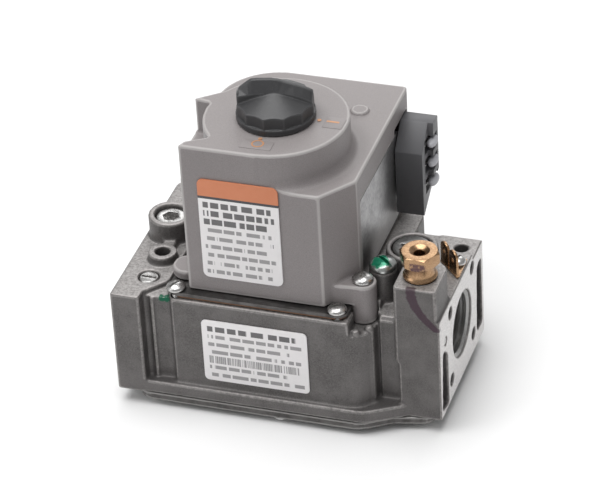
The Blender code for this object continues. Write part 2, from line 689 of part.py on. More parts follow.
def terminal_block(finish):
    start = BRACKET_X + GAP
    front = TERMINAL_FRONT_Y
    outline = rounded(((front, TERMINAL_LOW, 0.5), (front + 9, TERMINAL_LOW + 5.5, 0.5),
                       (TERMINAL_BACK_Y, TERMINAL_LOW + 9, 0.5), (TERMINAL_BACK_Y, TERMINAL_HIGH, 0.5),
                       (front + 7.2, TERMINAL_HIGH, 0.5), (front, TERMINAL_HIGH - 7.6, 0.5)), 2)
    made = piece("terminal_block", side_prism(outline, start, 85.6, "X"), finish)
    hood = rounded(((56.6, 49.2, 0.5), (TERMINAL_BACK_Y, 51.6, 0.5), (TERMINAL_BACK_Y, TERMINAL_HIGH, 0.5),
                    (57.6, TERMINAL_HIGH, 0.5)), 2)
    add(made, side_prism(hood, 84, 87.3, "X"))
    for height in terminal_spots():
        cut(made, block((79.6, 53.4, height - 2.6), (90, 61.4, height + 2.6)))
    return made


def terminal_tab(number, height, finish):
    """A quarter-inch spade tab standing in its pocket."""
    outline = rounded(((79.9, 54.2, 0), (85.3, 54.2, 1.2), (85.3, 60.6, 1.2), (79.9, 60.6, 0)), 2)
    return piece(f"terminal_tab_{number}", prism(outline, -0.4, 0.4), finish, (0, 0, height))


# ---------------------------------------------------------------- fittings, plugs, ground terminal

def pilot_fitting(finish):
    """Brass compression fitting: round barrel in the boss, waist and a hexagon nut on top."""
    base = PILOT_BOSS_TOP
    profile = ((0, base - 7), (4.6, base - 7), (4.6, base + 0.3), (5.3, base + 0.3), (5.3, base + 1.0),
               (4.7, base + 1.8), (4.6, base + 5), (0, base + 5))
    made = piece("pilot_fitting", turned(profile, 20), finish, (*PILOT_FITTING, 0))
    hexagon = disc(PILOT_FITTING, 6.4, base + 4.6, base + 9.4, 6)
    add(made, hexagon)
    cut(made, disc(PILOT_FITTING, 1.7, base - 9, base + 11, 16))
    mouth = ((0, base + 8.4), (1.7, base + 8.4), (3.0, base + 9.8), (0, base + 9.8))
    cut(made, turned(mouth, 16, PILOT_FITTING))
    return made


def pilot_needle(finish):
    low = PILOT_SCREW_TOP - 11.5
    profile = ((0, low), (0.9, low + 2.4), (2.6, low + 2.6), (2.6, low + 6.4), (0, low + 6.4))
    made = piece("pilot_adjust_needle", turned(profile, 16), finish, (*PILOT_SCREW, 0))
    cut(made, block((PILOT_SCREW[0] - 4, PILOT_SCREW[1] - 0.4, low + 5.2),
                    (PILOT_SCREW[0] + 4, PILOT_SCREW[1] + 0.4, low + 8)))
    return made


def regulator_cap(finish):
    low = REGULATOR_TOP - 4
    profile = ((0, low), (6.2, low), (6.2, REGULATOR_TOP - 0.6), (5.6, REGULATOR_TOP), (0, REGULATOR_TOP))
    cap = piece("regulator_cap", turned(profile, 20), finish, (*REGULATOR, 0))
    cut(cap, block((REGULATOR[0] - 3.6, REGULATOR[1] - 0.7, REGULATOR_TOP - 1.4),
                   (REGULATOR[0] + 3.6, REGULATOR[1] + 0.7, REGULATOR_TOP + 1)))
    return cap


def regulator_screw(finish):
    high = REGULATOR_TOP - 4 - 0.5
    profile = ((0, high - 3.2), (6.1, high - 3.2), (6.1, high), (0, high))
    made = piece("regulator_adjust_screw", turned(profile, 18), finish, (*REGULATOR, 0))
    cut(made, block((REGULATOR[0] - 4.4, REGULATOR[1] - 0.6, high - 1.4),
                    (REGULATOR[0] + 4.4, REGULATOR[1] + 0.6, high + 1)))
    return made


def plug(name, spot, low, high, radius, finish, drive):
    """A screwed plug with a screwdriver slot or a hexagon socket."""
    profile = ((0, low), (radius, low), (radius, high - 0.4), (radius - 0.4, high), (0, high))
    made = piece(name, turned(profile, 18), finish, (*spot, 0))
    if drive == "slot":
        cut(made, block((spot[0] - radius * 0.8, spot[1] - 0.5, high - 1.2),
                        (spot[0] + radius * 0.8, spot[1] + 0.5, high + 1)))
    else:
        cut(made, disc(spot, 2.75, high - 3.4, high + 1, 6))
    return made


def ground_terminal(finish):
    """A brass base under the screw, with two upright spades bent up along its slanting edge."""
    low = OUTLET_TOP + GAP
    fold_start = Vector((95.9, 32.1))
    fold_end = Vector((103.3, 24.4))
    along = (fold_end - fold_start).normalized()
    back = Vector((-along.y, along.x)) * 0.8
    base = (fold_start, fold_end, (104.0, 25.4), (104.0, 34.2), (98.6, 36.2))
    made = piece("ground_terminal", prism(base, low, low + 0.8), finish)
    width = (fold_end - fold_start).length / 2 - 0.6
    inset = along * 0.2 + back * 0.15
    for start in (fold_start + inset, fold_end - along * (width + 0.4) + inset):
        spade = rounded(((0, 0.1, 0), (width, 0.1, 0), (width, 8.6, 1.8), (0, 8.6, 1.8)), 3)
        shape = side_prism(spade, 0, 0.8)
        turn = Matrix.Rotation(math.atan2(along.y, along.x), 4, "Z")
        bmesh.ops.transform(shape, matrix=Matrix.Translation((*start, low)) @ turn, verts=shape.verts)
        add(made, shape)
        middle = start + along * width / 2
        cut(made, rod((*(middle - back), low + 5.4), (*(middle + back * 2), low + 5.4), 0.8, 8))
    cut(made, disc(GROUND_SCREW, 1.9, low - 1, low + 2, 12))
    return made


def outlet_face_plug(finish):
    spot = (6.6, 25.8)
    return piece("outlet_face_plug", rod((LENGTH - 3.4, *spot), (LENGTH - 0.2, *spot), 1.2, 12), finish)


def label(name, corners, face_y, finish):
    """A thin blank sticker on a front face."""
    outline = rounded(corners, 3)
    return piece(name, side_prism(outline, face_y - GAP - 0.25, face_y - GAP, "Y"), finish)


# ---------------------------------------------------------------- assembly

def fasteners(zinc):
    for number, (spot, radius) in enumerate(TOP_SCREWS.items(), 1):
        screw(f"top_plate_screw_{number}", spot, PLATE_HIGH + GAP, zinc, (radius, 1.9), (1.5, 7.0))
    for number, spot in enumerate(BOTTOM_SCREWS, 1):
        screw(f"bottom_plate_screw_{number}", spot, BOTTOM_PLATE_LOW - 0.1 - GAP, zinc,
              (2.8, 1.3), (1.5, 6.5), up=-1)
    screw("cover_screw", COVER_BOSS, COVER_BOSS_TOP + GAP, zinc, (3.4, 2.0), (1.5, 20.0), "hex")
    for number, spot in enumerate(BRACKET_SCREWS, 1):
        screw(f"bracket_screw_{number}", spot, COVER_LOW + BRACKET_THICKNESS + GAP, zinc,
              (2.5, 1.5), (1.5, 7.0))


def build():
    cast = material("die_cast_aluminium", (0.20, 0.195, 0.19), 0.45, 0.75)
    plastic = material("warm_grey_plastic", (0.27, 0.25, 0.245), 0.5)
    black = material("black_plastic", (0.02, 0.021, 0.022), 0.35)
    zinc = material("zinc_plated_steel", (0.62, 0.63, 0.63), 0.3, 1.0)
    steel = material("bare_steel", (0.45, 0.45, 0.44), 0.35, 1.0)
    stamped = material("stamped_steel", (0.22, 0.22, 0.21), 0.45, 0.9)
    brass = material("brass", (0.72, 0.45, 0.2), 0.25, 1.0)
    copper = material("copper_winding", (0.55, 0.23, 0.1), 0.4, 0.8)
    rubber = material("rubber", (0.03, 0.03, 0.03), 0.7)
    gasket = material("gasket_brown", (0.24, 0.11, 0.06), 0.8)
    sealed = material("green_sealed_steel", (0.2, 0.42, 0.33), 0.3, 0.8)
    paper = material("label_white", (0.8, 0.8, 0.8), 0.5)
    valve_body(cast)
    bottom_plate(stamped)
    main_diaphragm(rubber)
    top_sheet("top_gasket", GASKET_LOW, GASKET_HIGH, 0.5, 4.6, gasket)
    top_sheet("top_plate", PLATE_LOW, PLATE_HIGH, 0.0, 4.6, stamped)
    port_plate(steel)
    rotary_disc(steel)
    knob_stem(steel)
    stem_seal(rubber)
    main_valve_stem(steel)
    diaphragm_plate(zinc)
    main_valve_disc(rubber)
    piece("main_valve_spring", helix(5.2, 0.5, SEAT_TOP + GAP + 2.5 + GAP, PORT_PLATE_LOW - GAP, 5, 10, 5),
          steel, (*CHAMBER, 0))
    inlet_screen(zinc)
    control_cover(plastic)
    control_knob(black)
    solenoid_bracket(zinc)
    for kind, spot in COILS.items():
        solenoid(kind, spot, black, copper, steel, zinc)
    terminal_block(black)
    for number, height in enumerate(terminal_spots(), 1):
        terminal_tab(number, height, zinc)
    pilot_fitting(brass)
    pilot_needle(brass)
    screw("pilot_seal_screw", PILOT_SCREW, PILOT_SCREW_TOP + GAP, sealed, (4.4, 3.0), (2.8, 4.0))
    regulator_cap(cast)
    regulator_screw(black)
    piece("regulator_spring", helix(4.0, 0.4, REGULATOR_TOP - 15 + GAP, REGULATOR_TOP - 7.7 - GAP, 5, 8, 4),
          zinc, (*REGULATOR, 0))
    plug("inlet_tap_plug", TAP_BOSS, TAP_BOSS_TOP - 6.6, TAP_BOSS_TOP - 1.2, 4.9, steel, "hex")
    plug("inlet_slotted_plug", SLOT_PLUG, INLET_TOP - 4.6, INLET_TOP - 0.2, 3.1, steel, "slot")
    ground_terminal(brass)
    screw("ground_screw", GROUND_SCREW, OUTLET_TOP + GAP + 0.8 + GAP, zinc, (2.6, 1.8))
    outlet_face_plug(zinc)
    label("cover_label", ((30.0, 44.4, 2), (55.8, 44.4, 2), (55.8, 80.3, 2), (30.0, 80.3, 2)),
          COVER_FRONT_Y, paper)
    label("rating_label", ((29.2, 7.4, 1.5), (63.6, 7.4, 1.5), (63.6, 30.2, 1.5), (29.2, 30.2, 1.5)),
          LABEL_WALL_Y, paper)
    fasteners(zinc)


clear_scene()
DATUM = datum_frame()
build()
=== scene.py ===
"""Looks for the combination gas valve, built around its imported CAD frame.

Lengths are in millimetres in the casting's datum frame and turned into metres when a mesh is
made. The datum is at the inlet face (x = 0), the outlet block's front face (y = 0) and the
casting's underside (z = 0), and it is read from the frame.
"""

import math
import random

import bmesh
import bpy
import numpy as np
from mathutils import Matrix
from mathutils import Vector


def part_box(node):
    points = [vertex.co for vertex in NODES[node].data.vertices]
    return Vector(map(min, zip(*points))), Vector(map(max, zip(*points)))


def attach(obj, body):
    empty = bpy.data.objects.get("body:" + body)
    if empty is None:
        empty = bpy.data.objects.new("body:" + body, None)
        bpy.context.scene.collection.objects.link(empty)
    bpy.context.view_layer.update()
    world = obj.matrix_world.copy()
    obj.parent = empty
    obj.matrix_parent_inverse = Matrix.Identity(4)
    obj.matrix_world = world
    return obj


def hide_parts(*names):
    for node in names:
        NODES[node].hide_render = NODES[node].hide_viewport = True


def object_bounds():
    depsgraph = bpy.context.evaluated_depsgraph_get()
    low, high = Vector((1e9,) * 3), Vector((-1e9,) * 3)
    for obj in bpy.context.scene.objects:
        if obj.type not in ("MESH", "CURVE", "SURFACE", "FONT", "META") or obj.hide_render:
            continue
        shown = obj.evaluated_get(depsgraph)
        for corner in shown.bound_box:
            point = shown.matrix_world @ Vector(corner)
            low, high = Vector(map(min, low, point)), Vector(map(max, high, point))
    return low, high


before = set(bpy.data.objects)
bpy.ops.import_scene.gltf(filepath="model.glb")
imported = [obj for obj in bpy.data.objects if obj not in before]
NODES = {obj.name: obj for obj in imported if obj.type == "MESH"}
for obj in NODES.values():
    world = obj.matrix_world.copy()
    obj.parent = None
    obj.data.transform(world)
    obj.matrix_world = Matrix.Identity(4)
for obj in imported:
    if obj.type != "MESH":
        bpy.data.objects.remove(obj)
CAD_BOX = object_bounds()

MM = 0.001
INLET_OVERHANG = 7.8
BODY_LOW, BODY_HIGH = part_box("valve_body")
DATUM = Vector((BODY_LOW.x, BODY_LOW.y + INLET_OVERHANG * MM, BODY_LOW.z))
LENGTH = (BODY_HIGH.x - BODY_LOW.x) / MM

# The camera: angles in degrees, distances in metres, lens in millimetres on a 36 mm sensor
CAMERA_AZIMUTH = 19.492
CAMERA_ELEVATION = 34.088
CAMERA_ROLL = -3.429
CAMERA_DISTANCE = 1.0713
CAMERA_TARGET = Vector((-0.00067, 0.00211, 0.04666))
CAMERA_LENS = 204.53

TURRET = (48.6, 20.8)
TURRET_RADIUS = 22.6
PLATEAU = 78.8
KNOB_POINTING = math.radians(13.4)

KNOB_FLUTES = 12
FLUTE_STEPS = 16
FLUTE_DEPTH = 0.65

SCREW_PITCH = 0.8
SCREW_SHANK = 1.5
SEAL_SHANK = 2.8
THREAD_DEPTH = 0.25

PORT_Y = 25.2
PORT_Z = 19.6
PORT_RADIUS = 10.8
PORT_DEPTH = 14.0
PORT_TAPER = 1 / 32
THREAD_PITCH = 1.814
THREAD_START = 0.6


# ---------------------------------------------------------------- frame helpers

def span(node):
    """A CAD node's lowest and highest corners, in datum millimetres."""
    low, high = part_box(node)
    return (low - DATUM) / MM, (high - DATUM) / MM


def axis_of(node):
    """The middle of a CAD node in plan, in datum millimetres."""
    low, high = span(node)
    return ((low.x + high.x) / 2, (low.y + high.y) / 2)


# ---------------------------------------------------------------- shapes, in millimetres

def rounded(corners, steps=8):
    """An outline from (x, y, radius) corners, each radius turned into an arc."""
    outline = []
    count = len(corners)
    for index, (x, y, radius) in enumerate(corners):
        corner = Vector((x, y))
        if radius <= 0:
            outline.append(corner)
            continue
        before = (Vector(corners[index - 1][:2]) - corner)
        after = (Vector(corners[(index + 1) % count][:2]) - corner)
        half = before.angle(after) / 2
        before.normalize()
        after.normalize()
        reach = radius / math.tan(half)
        middle = corner + (before + after).normalized() * (radius / math.sin(half))
        first = corner + before * reach - middle
        last = corner + after * reach - middle
        start = math.atan2(first.y, first.x)
        sweep = (math.atan2(last.y, last.x) - start + math.pi) % (2 * math.pi) - math.pi
        for step in range(steps + 1):
            angle = start + sweep * step / steps
            outline.append(middle + radius * Vector((math.cos(angle), math.sin(angle))))
    return outline


def circle(centre, radius, sides=48):
    """Points round a circle."""
    turns = [2 * math.pi * side / sides for side in range(sides)]
    return [(centre[0] + radius * math.cos(a), centre[1] + radius * math.sin(a)) for a in turns]


def prism(outline, low, high, axis="Z"):
    """An outline drawn along an axis. Outline points are (x, y), (x, z) for Y or (y, z) for X."""
    order = {"Z": lambda a, b, c: (a, b, c), "Y": lambda a, b, c: (a, c, b),
             "X": lambda a, b, c: (c, a, b)}[axis]
    shape = bmesh.new()
    under = [shape.verts.new(order(point[0], point[1], low)) for point in outline]
    over = [shape.verts.new(order(point[0], point[1], high)) for point in outline]
    shape.faces.new(reversed(under))
    shape.faces.new(over)
    for index in range(len(outline)):
        after = (index + 1) % len(outline)
        shape.faces.new((under[index], under[after], over[after], over[index]))
    bmesh.ops.recalc_face_normals(shape, faces=shape.faces)
    return shape


def block(low, high):
    """A box from its lowest corner to its highest."""
    return prism(((low[0], low[1]), (high[0], low[1]), (high[0], high[1]), (low[0], high[1])),
                 low[2], high[2])


def turned(profile, centre=(0, 0), sides=64, closed=False):
    """A (radius, z) profile turned about a vertical line; closed joins its ends into a ring."""
    shape = bmesh.new()
    rings = []
    for radius, height in profile:
        if radius <= 0:
            rings.append([shape.verts.new((centre[0], centre[1], height))])
        else:
            rings.append([shape.verts.new((*spot, height)) for spot in circle(centre, radius, sides)])
    pairs = list(zip(rings, rings[1:]))
    if closed:
        pairs.append((rings[-1], rings[0]))
    for lower, upper in pairs:
        for side in range(sides):
            after = (side + 1) % sides
            ring = [lower[side % len(lower)], lower[after % len(lower)],
                    upper[after % len(upper)], upper[side % len(upper)]]
            shape.faces.new(list(dict.fromkeys(ring)))
    bmesh.ops.recalc_face_normals(shape, faces=shape.faces)
    return shape


def dome(radius, low, high, edge=0.3, steps=8):
    """The profile of a domed screw head, from its rim up to its middle."""
    points = [(radius - edge * 0.4, low), (radius, low + edge)]
    for step in range(1, steps + 1):
        angle = math.pi / 2 * step / steps
        points.append((radius * math.cos(angle), low + edge + (high - low - edge) * math.sin(angle)))
    points[-1] = (0, high)
    return points


def aimed(shape, start, direction):
    """Turns a shape built along +Z to run from a point in a direction."""
    turn = Vector((0, 0, 1)).rotation_difference(Vector(direction)).to_matrix().to_4x4()
    bmesh.ops.transform(shape, matrix=Matrix.Translation(start) @ turn, verts=shape.verts)
    return shape


# ---------------------------------------------------------------- objects

def mesh_object(name, shape, finish=None):
    """A new object from a shape in datum millimetres; its own origin is the datum."""
    mesh = bpy.data.meshes.new(name)
    bmesh.ops.scale(shape, vec=(MM, MM, MM), verts=shape.verts)
    shape.to_mesh(mesh)
    shape.free()
    if finish:
        mesh.materials.append(finish)
    made = bpy.data.objects.new(name, mesh)
    made.location = DATUM
    bpy.context.scene.collection.objects.link(made)
    return made


def settle(target):
    """Applies a piece's modifiers."""
    graph = bpy.context.evaluated_depsgraph_get()
    mesh = bpy.data.meshes.new_from_object(target.evaluated_get(graph))
    old = target.data
    target.modifiers.clear()
    target.data = mesh
    bpy.data.meshes.remove(old)


def modified(target, kind, **settings):
    """Adds one modifier to a piece and applies it."""
    change = target.modifiers.new(kind.lower(), kind)
    for key, value in settings.items():
        setattr(change, key, value)
    settle(target)
    return target


def carve(target, *shapes, operation="DIFFERENCE"):
    """Cuts shapes, given in datum millimetres, out of a piece, or adds them to it."""
    for shape in shapes:
        tool = mesh_object("tool", shape)
        modified(target, "BOOLEAN", operation=operation, solver="EXACT", object=tool)
        bpy.data.objects.remove(tool)
    return target


def smooth(target, angle=35):
    """Shades a piece smooth, with edges sharper than an angle kept sharp."""
    target.data.shade_smooth()
    target.data.set_sharp_from_angle(angle=math.radians(angle))
    return target


def copy_of(node, name, finish):
    """A new object with a CAD node's shape, its facets welded into flat faces."""
    shape = bmesh.new()
    shape.from_mesh(NODES[node].data)
    bmesh.ops.remove_doubles(shape, verts=shape.verts, dist=0.002 * MM)
    bmesh.ops.dissolve_limit(shape, angle_limit=math.radians(0.5), verts=shape.verts,
                             edges=shape.edges)
    bmesh.ops.translate(shape, vec=-DATUM, verts=shape.verts)
    bmesh.ops.scale(shape, vec=(1 / MM, 1 / MM, 1 / MM), verts=shape.verts)
    return mesh_object(name, shape, finish)


def bevelled(target, width, segments=3, angle=32):
    """Rounds every sharp edge of a piece by a width in millimetres."""
    modified(target, "BEVEL", width=width * MM, segments=segments, limit_method="ANGLE",
             angle_limit=math.radians(angle), use_clamp_overlap=True)
    return smooth(target, 30)


def mark_edges(target):
    """Stores how convex the surface is at each vertex; the materials paint convex edges brighter, partly
    as worn edges and partly as painted edge highlights.
    """
    mesh = target.data
    count = len(mesh.vertices)
    points = np.zeros(count * 3, np.float32)
    mesh.vertices.foreach_get("co", points)
    points = points.reshape(-1, 3)
    normals = np.zeros(count * 3, np.float32)
    mesh.vertex_normals.foreach_get("vector", normals)
    normals = normals.reshape(-1, 3)
    pairs = np.zeros(len(mesh.edges) * 2, np.int32)
    mesh.edges.foreach_get("vertices", pairs)
    first, second = pairs.reshape(-1, 2).T
    along = points[second] - points[first]
    bend = np.einsum("ij,ij->i", normals[second] - normals[first], along)
    bend /= np.maximum(np.einsum("ij,ij->i", along, along), 1e-12)
    total = np.bincount(first, bend, count) + np.bincount(second, bend, count)
    number = np.bincount(first, minlength=count) + np.bincount(second, minlength=count)
    convex = np.clip(total / np.maximum(number, 1) * MM * 2.0 - 0.2, 0, 1).astype(np.float32)
    mesh.attributes.new("edge_wear_and_highlight", "FLOAT", "POINT").data.foreach_set("value", convex)


def softened(target, voxel, rounds, faces):
    """Rebuilds a piece with softly rounded edges and corners, as a cast or moulded one has."""
    modified(target, "REMESH", mode="VOXEL", voxel_size=voxel * MM, adaptivity=0.0)
    modified(target, "SMOOTH", factor=0.5, iterations=rounds)
    mark_edges(target)
    share = min(1.0, faces / (2 * len(target.data.polygons)))
    modified(target, "DECIMATE", decimate_type="COLLAPSE", ratio=share)
    target.data.shade_smooth()
    return modified(target, "WEIGHTED_NORMAL", mode="FACE_AREA", weight=60, keep_sharp=True)


def finished(target, body, slot, *nodes):
    """Rides a piece on its body, and lets it stand for CAD nodes."""
    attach(target, body)
    if nodes:
        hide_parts(*nodes)
    return target


# ---------------------------------------------------------------- materials

def wired(tree, kind, inputs=None, **settings):
    """Adds a shader node, with its inputs set or linked."""
    made = tree.nodes.new("ShaderNode" + kind)
    for key, value in settings.items():
        setattr(made, key, value)
    for key, value in (inputs or {}).items():
        if isinstance(value, bpy.types.NodeSocket):
            tree.links.new(value, made.inputs[key])
        else:
            made.inputs[key].default_value = value
    return made


class Finish:
    """A Principled material whose textures are measured in millimetres on the piece."""

    def __init__(self, name, metallic=0.0, roughness=0.5, specular=0.5):
        self.material = bpy.data.materials.new(name)
        self.material.use_nodes = True
        self.tree = self.material.node_tree
        self.shader = self.tree.nodes["Principled BSDF"]
        self.shader.inputs["Metallic"].default_value = metallic
        self.shader.inputs["Roughness"].default_value = roughness
        self.shader.inputs["Specular IOR Level"].default_value = specular
        place = wired(self.tree, "TexCoord")
        self.place = wired(self.tree, "VectorMath", {0: place.outputs["Object"], 1: (1 / MM,) * 3},
                           operation="MULTIPLY").outputs[0]
        self.bump = None

    def stretched(self, x, y, z):
        return wired(self.tree, "VectorMath", {0: self.place, 1: (x, y, z)},
                     operation="MULTIPLY").outputs[0]

    def noise(self, scale, detail=4.0, roughness=0.6, place=None):
        return wired(self.tree, "TexNoise", {"Vector": place or self.place, "Scale": scale,
                                             "Detail": detail, "Roughness": roughness}).outputs["Fac"]

    def cells(self, scale):
        """A random colour for each crystal."""
        return wired(self.tree, "TexVoronoi", {"Vector": self.place, "Scale": scale},
                     feature="F1").outputs["Color"]

    def ramp(self, value, low, high, smoothly=True):
        """0 below low and 1 above high."""
        return wired(self.tree, "MapRange", {"Value": value, "From Min": low, "From Max": high},
                     interpolation_type="SMOOTHSTEP" if smoothly else "LINEAR").outputs[0]

    def between(self, value, low, high):
        return wired(self.tree, "MapRange", {"Value": value, "To Min": low, "To Max": high}).outputs[0]

    def maths(self, operation, first, second=0.0):
        return wired(self.tree, "Math", {0: first, 1: second}, operation=operation).outputs[0]

    def mixed(self, amount, first, second):
        """A colour between two colours."""
        made = wired(self.tree, "Mix", {"Factor": amount}, data_type="RGBA")
        for socket, colour in ((made.inputs[6], first), (made.inputs[7], second)):
            if isinstance(colour, bpy.types.NodeSocket):
                self.tree.links.new(colour, socket)
            else:
                socket.default_value = (*colour, 1.0)
        return made.outputs[2]

    def layered(self, under, amount, strength, over):
        """A colour laid over another where amount is 1, as strongly as strength says."""
        return self.mixed(self.maths("MULTIPLY", amount, strength), under, over)

    def times(self, *values):
        """The product of two or more values."""
        product = values[0]
        for value in values[1:]:
            product = self.maths("MULTIPLY", product, value)
        return product

    def normal(self):
        return wired(self.tree, "TexCoord").outputs["Normal"]

    def parts(self, vector):
        return wired(self.tree, "SeparateXYZ", {0: vector}).outputs

    def attribute(self, name):
        return wired(self.tree, "Attribute", attribute_name=name).outputs["Fac"]

    def set(self, socket, value):
        if isinstance(value, bpy.types.NodeSocket):
            self.tree.links.new(value, self.shader.inputs[socket])
        elif isinstance(value, tuple):
            self.shader.inputs[socket].default_value = (*value, 1.0)
        else:
            self.shader.inputs[socket].default_value = value
        return self

    def bumped(self, height, depth, strength=1.0):
        """Adds a bump of a depth in millimetres on top of those already there."""
        inputs = {"Height": height, "Distance": depth * MM, "Strength": strength}
        if self.bump:
            inputs["Normal"] = self.bump
        self.bump = wired(self.tree, "Bump", inputs).outputs[0]
        self.tree.links.new(self.bump, self.shader.inputs["Normal"])
        return self

    def inside(self, low, high, soft=0.1):
        """1 inside a box in datum millimetres, 0 outside."""
        axes = self.parts(self.place)
        amount = None
        for index in range(3):
            if low[index] is None:
                continue
            over = self.ramp(axes[index], low[index] - soft, low[index] + soft)
            under = self.ramp(axes[index], high[index] + soft, high[index] - soft)
            part = self.maths("MULTIPLY", over, under)
            amount = part if amount is None else self.maths("MULTIPLY", amount, part)
        return amount


def cast_metal():
    """Dark, speckled die-cast aluminium, bright where it is machined and along its edges, where worn
    metal and a painted edge highlight are laid on.
    """
    made = Finish("cast_aluminium", metallic=0.6, roughness=0.5)
    broad = made.ramp(made.noise(0.10, 5), 0.32, 0.68)
    colour = made.mixed(broad, (0.082, 0.077, 0.075), (0.136, 0.128, 0.126))
    grain = made.ramp(made.noise(2.4, 4, 0.75), 0.35, 0.65)
    colour = made.layered(colour, grain, 0.5, (0.180, 0.171, 0.168))
    flecks = made.ramp(made.noise(4.5, 3, 0.7), 0.60, 0.74)
    colour = made.layered(colour, flecks, 0.45, (0.42, 0.40, 0.39))
    pits = made.ramp(made.noise(1.7, 4, 0.7), 0.40, 0.28)
    colour = made.layered(colour, pits, 0.6, (0.030, 0.028, 0.027))
    axes = made.parts(made.place)
    facing = made.parts(made.normal())
    ends = made.ramp(made.maths("ABSOLUTE", made.maths("SUBTRACT", axes[0], LENGTH / 2)),
                     LENGTH / 2 - 0.5, LENGTH / 2 - 0.25)
    across = made.ramp(made.maths("ABSOLUTE", facing[0]), 0.8, 0.95)
    upward = made.times(made.ramp(facing[2], 0.8, 0.98), made.ramp(axes[2], 30.0, 33.0))
    machined = made.maths("MAXIMUM", made.times(ends, across), upward)
    marks = made.ramp(made.noise(1.2, 5, 0.75, made.stretched(1, 1, 5)), 0.3, 0.7)
    bright = made.mixed(marks, (0.24, 0.228, 0.222), (0.50, 0.48, 0.47))
    face = made.mixed(marks, (0.60, 0.585, 0.58), (0.94, 0.92, 0.91))
    bright = made.mixed(made.times(ends, across), bright, face)
    colour = made.layered(colour, machined, 0.92, bright)
    # Convex edges painted lighter: partly worn metal, partly a painted edge highlight.
    wear_and_highlight = made.ramp(made.attribute("edge_wear_and_highlight"), 0.16, 0.62)
    scuffed_and_lit = made.times(wear_and_highlight, made.between(made.noise(0.9, 4, 0.7), -0.40, 1.15))
    scuffed_and_lit = made.maths("MAXIMUM", scuffed_and_lit, 0.0)
    colour = made.mixed(made.maths("MINIMUM", scuffed_and_lit, 0.7), colour, (0.40, 0.38, 0.37))
    colour = made.mixed(painted_dab(made), colour, (0.010, 0.11, 0.060))
    colour = made.mixed(painted_streak(made, axes), colour, (0.045, 0.018, 0.034))
    made.set("Base Color", colour)
    made.set("Roughness", made.between(made.noise(0.9), 0.40, 0.60))
    made.bumped(made.noise(2.4, 5, 0.7), 0.09, 0.6)
    made.bumped(made.noise(0.35, 3), 0.25, 0.3)
    return made


def painted_dab(made):
    """A dab of green inspection paint beside the inlet block."""
    ragged = made.ramp(made.noise(0.9, 3), 0.36, 0.46)
    return made.times(made.inside((14.8, -6, 33.2), (18.6, -2, 35.4), soft=0.3), ragged)


def painted_streak(made, axes):
    """Purple inspection paint that ran down the pilot boss and off to the outlet's corner."""
    top, fall = 47.6, 13.3
    start, drift = 95.7, 7.6
    fallen = made.maths("DIVIDE", made.maths("SUBTRACT", top, axes[2]), fall)
    middle = made.maths("ADD", start, made.times(fallen, fallen, drift))
    off = made.maths("ABSOLUTE", made.maths("SUBTRACT", axes[0], middle))
    ragged = made.maths("ADD", off, made.between(made.noise(0.8, 3), -0.6, 0.6))
    boss_front = made.inside((90, -1, 33.5), (LENGTH, 1.5, 49))
    streak = made.times(made.ramp(ragged, 1.9, 1.3), boss_front)
    return made.times(streak, 0.75)


def grey_plastic():
    """Warm grey moulded plastic with a fine metallic-looking grain, painted light on its top faces and a
    painted highlight along its edges.
    """
    made = Finish("grey_plastic", roughness=0.5, specular=0.5)
    broad = made.noise(0.05, 3)
    colour = made.mixed(broad, (0.178, 0.160, 0.160), (0.212, 0.193, 0.193))
    grain = made.ramp(made.noise(3.6, 3, 0.75), 0.35, 0.65)
    colour = made.layered(colour, grain, 0.5, (0.285, 0.262, 0.260))
    pits = made.ramp(made.noise(2.6, 2), 0.36, 0.28)
    colour = made.layered(colour, pits, 0.4, (0.105, 0.094, 0.094))
    # Painted light: faces that point up are painted lighter.
    upward = made.ramp(made.parts(made.normal())[2], 0.8, 0.98)
    colour = made.layered(colour, upward, 0.30, (0.36, 0.335, 0.33))
    # Painted highlight: convex edges are painted lighter.
    edge = made.ramp(made.attribute("edge_wear_and_highlight"), 0.02, 0.5)
    colour = made.layered(colour, edge, 0.5, (0.52, 0.50, 0.49))
    made.set("Base Color", colour)
    made.set("Roughness", made.between(made.noise(1.1), 0.40, 0.54))
    made.bumped(made.noise(4.0, 3, 0.6), 0.035, 0.6)
    made.bumped(made.noise(0.08, 2), 0.5, 0.12)
    return made


def black_plastic(name="black_plastic", shade=0.032, rough=0.38):
    """Moulded plastic with a little dust and a painted highlight along its edges; shade is its grey."""
    made = Finish(name, specular=0.5)
    dust = made.ramp(made.noise(1.2, 5, 0.7), 0.52, 0.8)
    plain = (shade, shade, shade * 1.06)
    colour = made.layered(plain, dust, 0.12, (0.2, 0.19, 0.185))
    # Painted highlight: convex edges are painted lighter.
    edge = made.ramp(made.attribute("edge_wear_and_highlight"), 0.1, 0.6)
    colour = made.layered(colour, edge, 0.12, (0.16, 0.16, 0.165))
    made.set("Base Color", colour)
    made.set("Roughness", made.between(made.noise(0.8), rough - 0.06, rough + 0.08))
    made.bumped(made.noise(5.0, 2), 0.015, 0.5)
    return made


def zinc_plate():
    """Zinc plating with its faint crystal spangle and a few scuffs, and painted light that makes it
    lighter towards its foot.
    """
    made = Finish("zinc_plate", metallic=1.0)
    crystals = made.cells(1.1)
    tone = made.parts(crystals)[0]
    cloud = made.noise(0.16, 5, 0.65)
    amount = made.maths("ADD", made.times(tone, 0.2), made.times(cloud, 0.8))
    colour = made.mixed(made.ramp(amount, 0.15, 0.85), (0.24, 0.238, 0.24), (0.40, 0.397, 0.40))
    # Painted light: the plate is painted lighter towards its foot.
    foot = made.ramp(made.parts(made.place)[2], 52.0, 36.0)
    colour = made.layered(colour, foot, 0.8, (0.78, 0.775, 0.77))
    specks = made.ramp(made.noise(3.0, 4, 0.7), 0.38, 0.3)
    colour = made.layered(colour, specks, 0.5, (0.2, 0.195, 0.19))
    made.set("Base Color", colour)
    made.set("Roughness", made.between(amount, 0.46, 0.34))
    made.bumped(made.noise(2.5, 4), 0.02, 0.4)
    return made


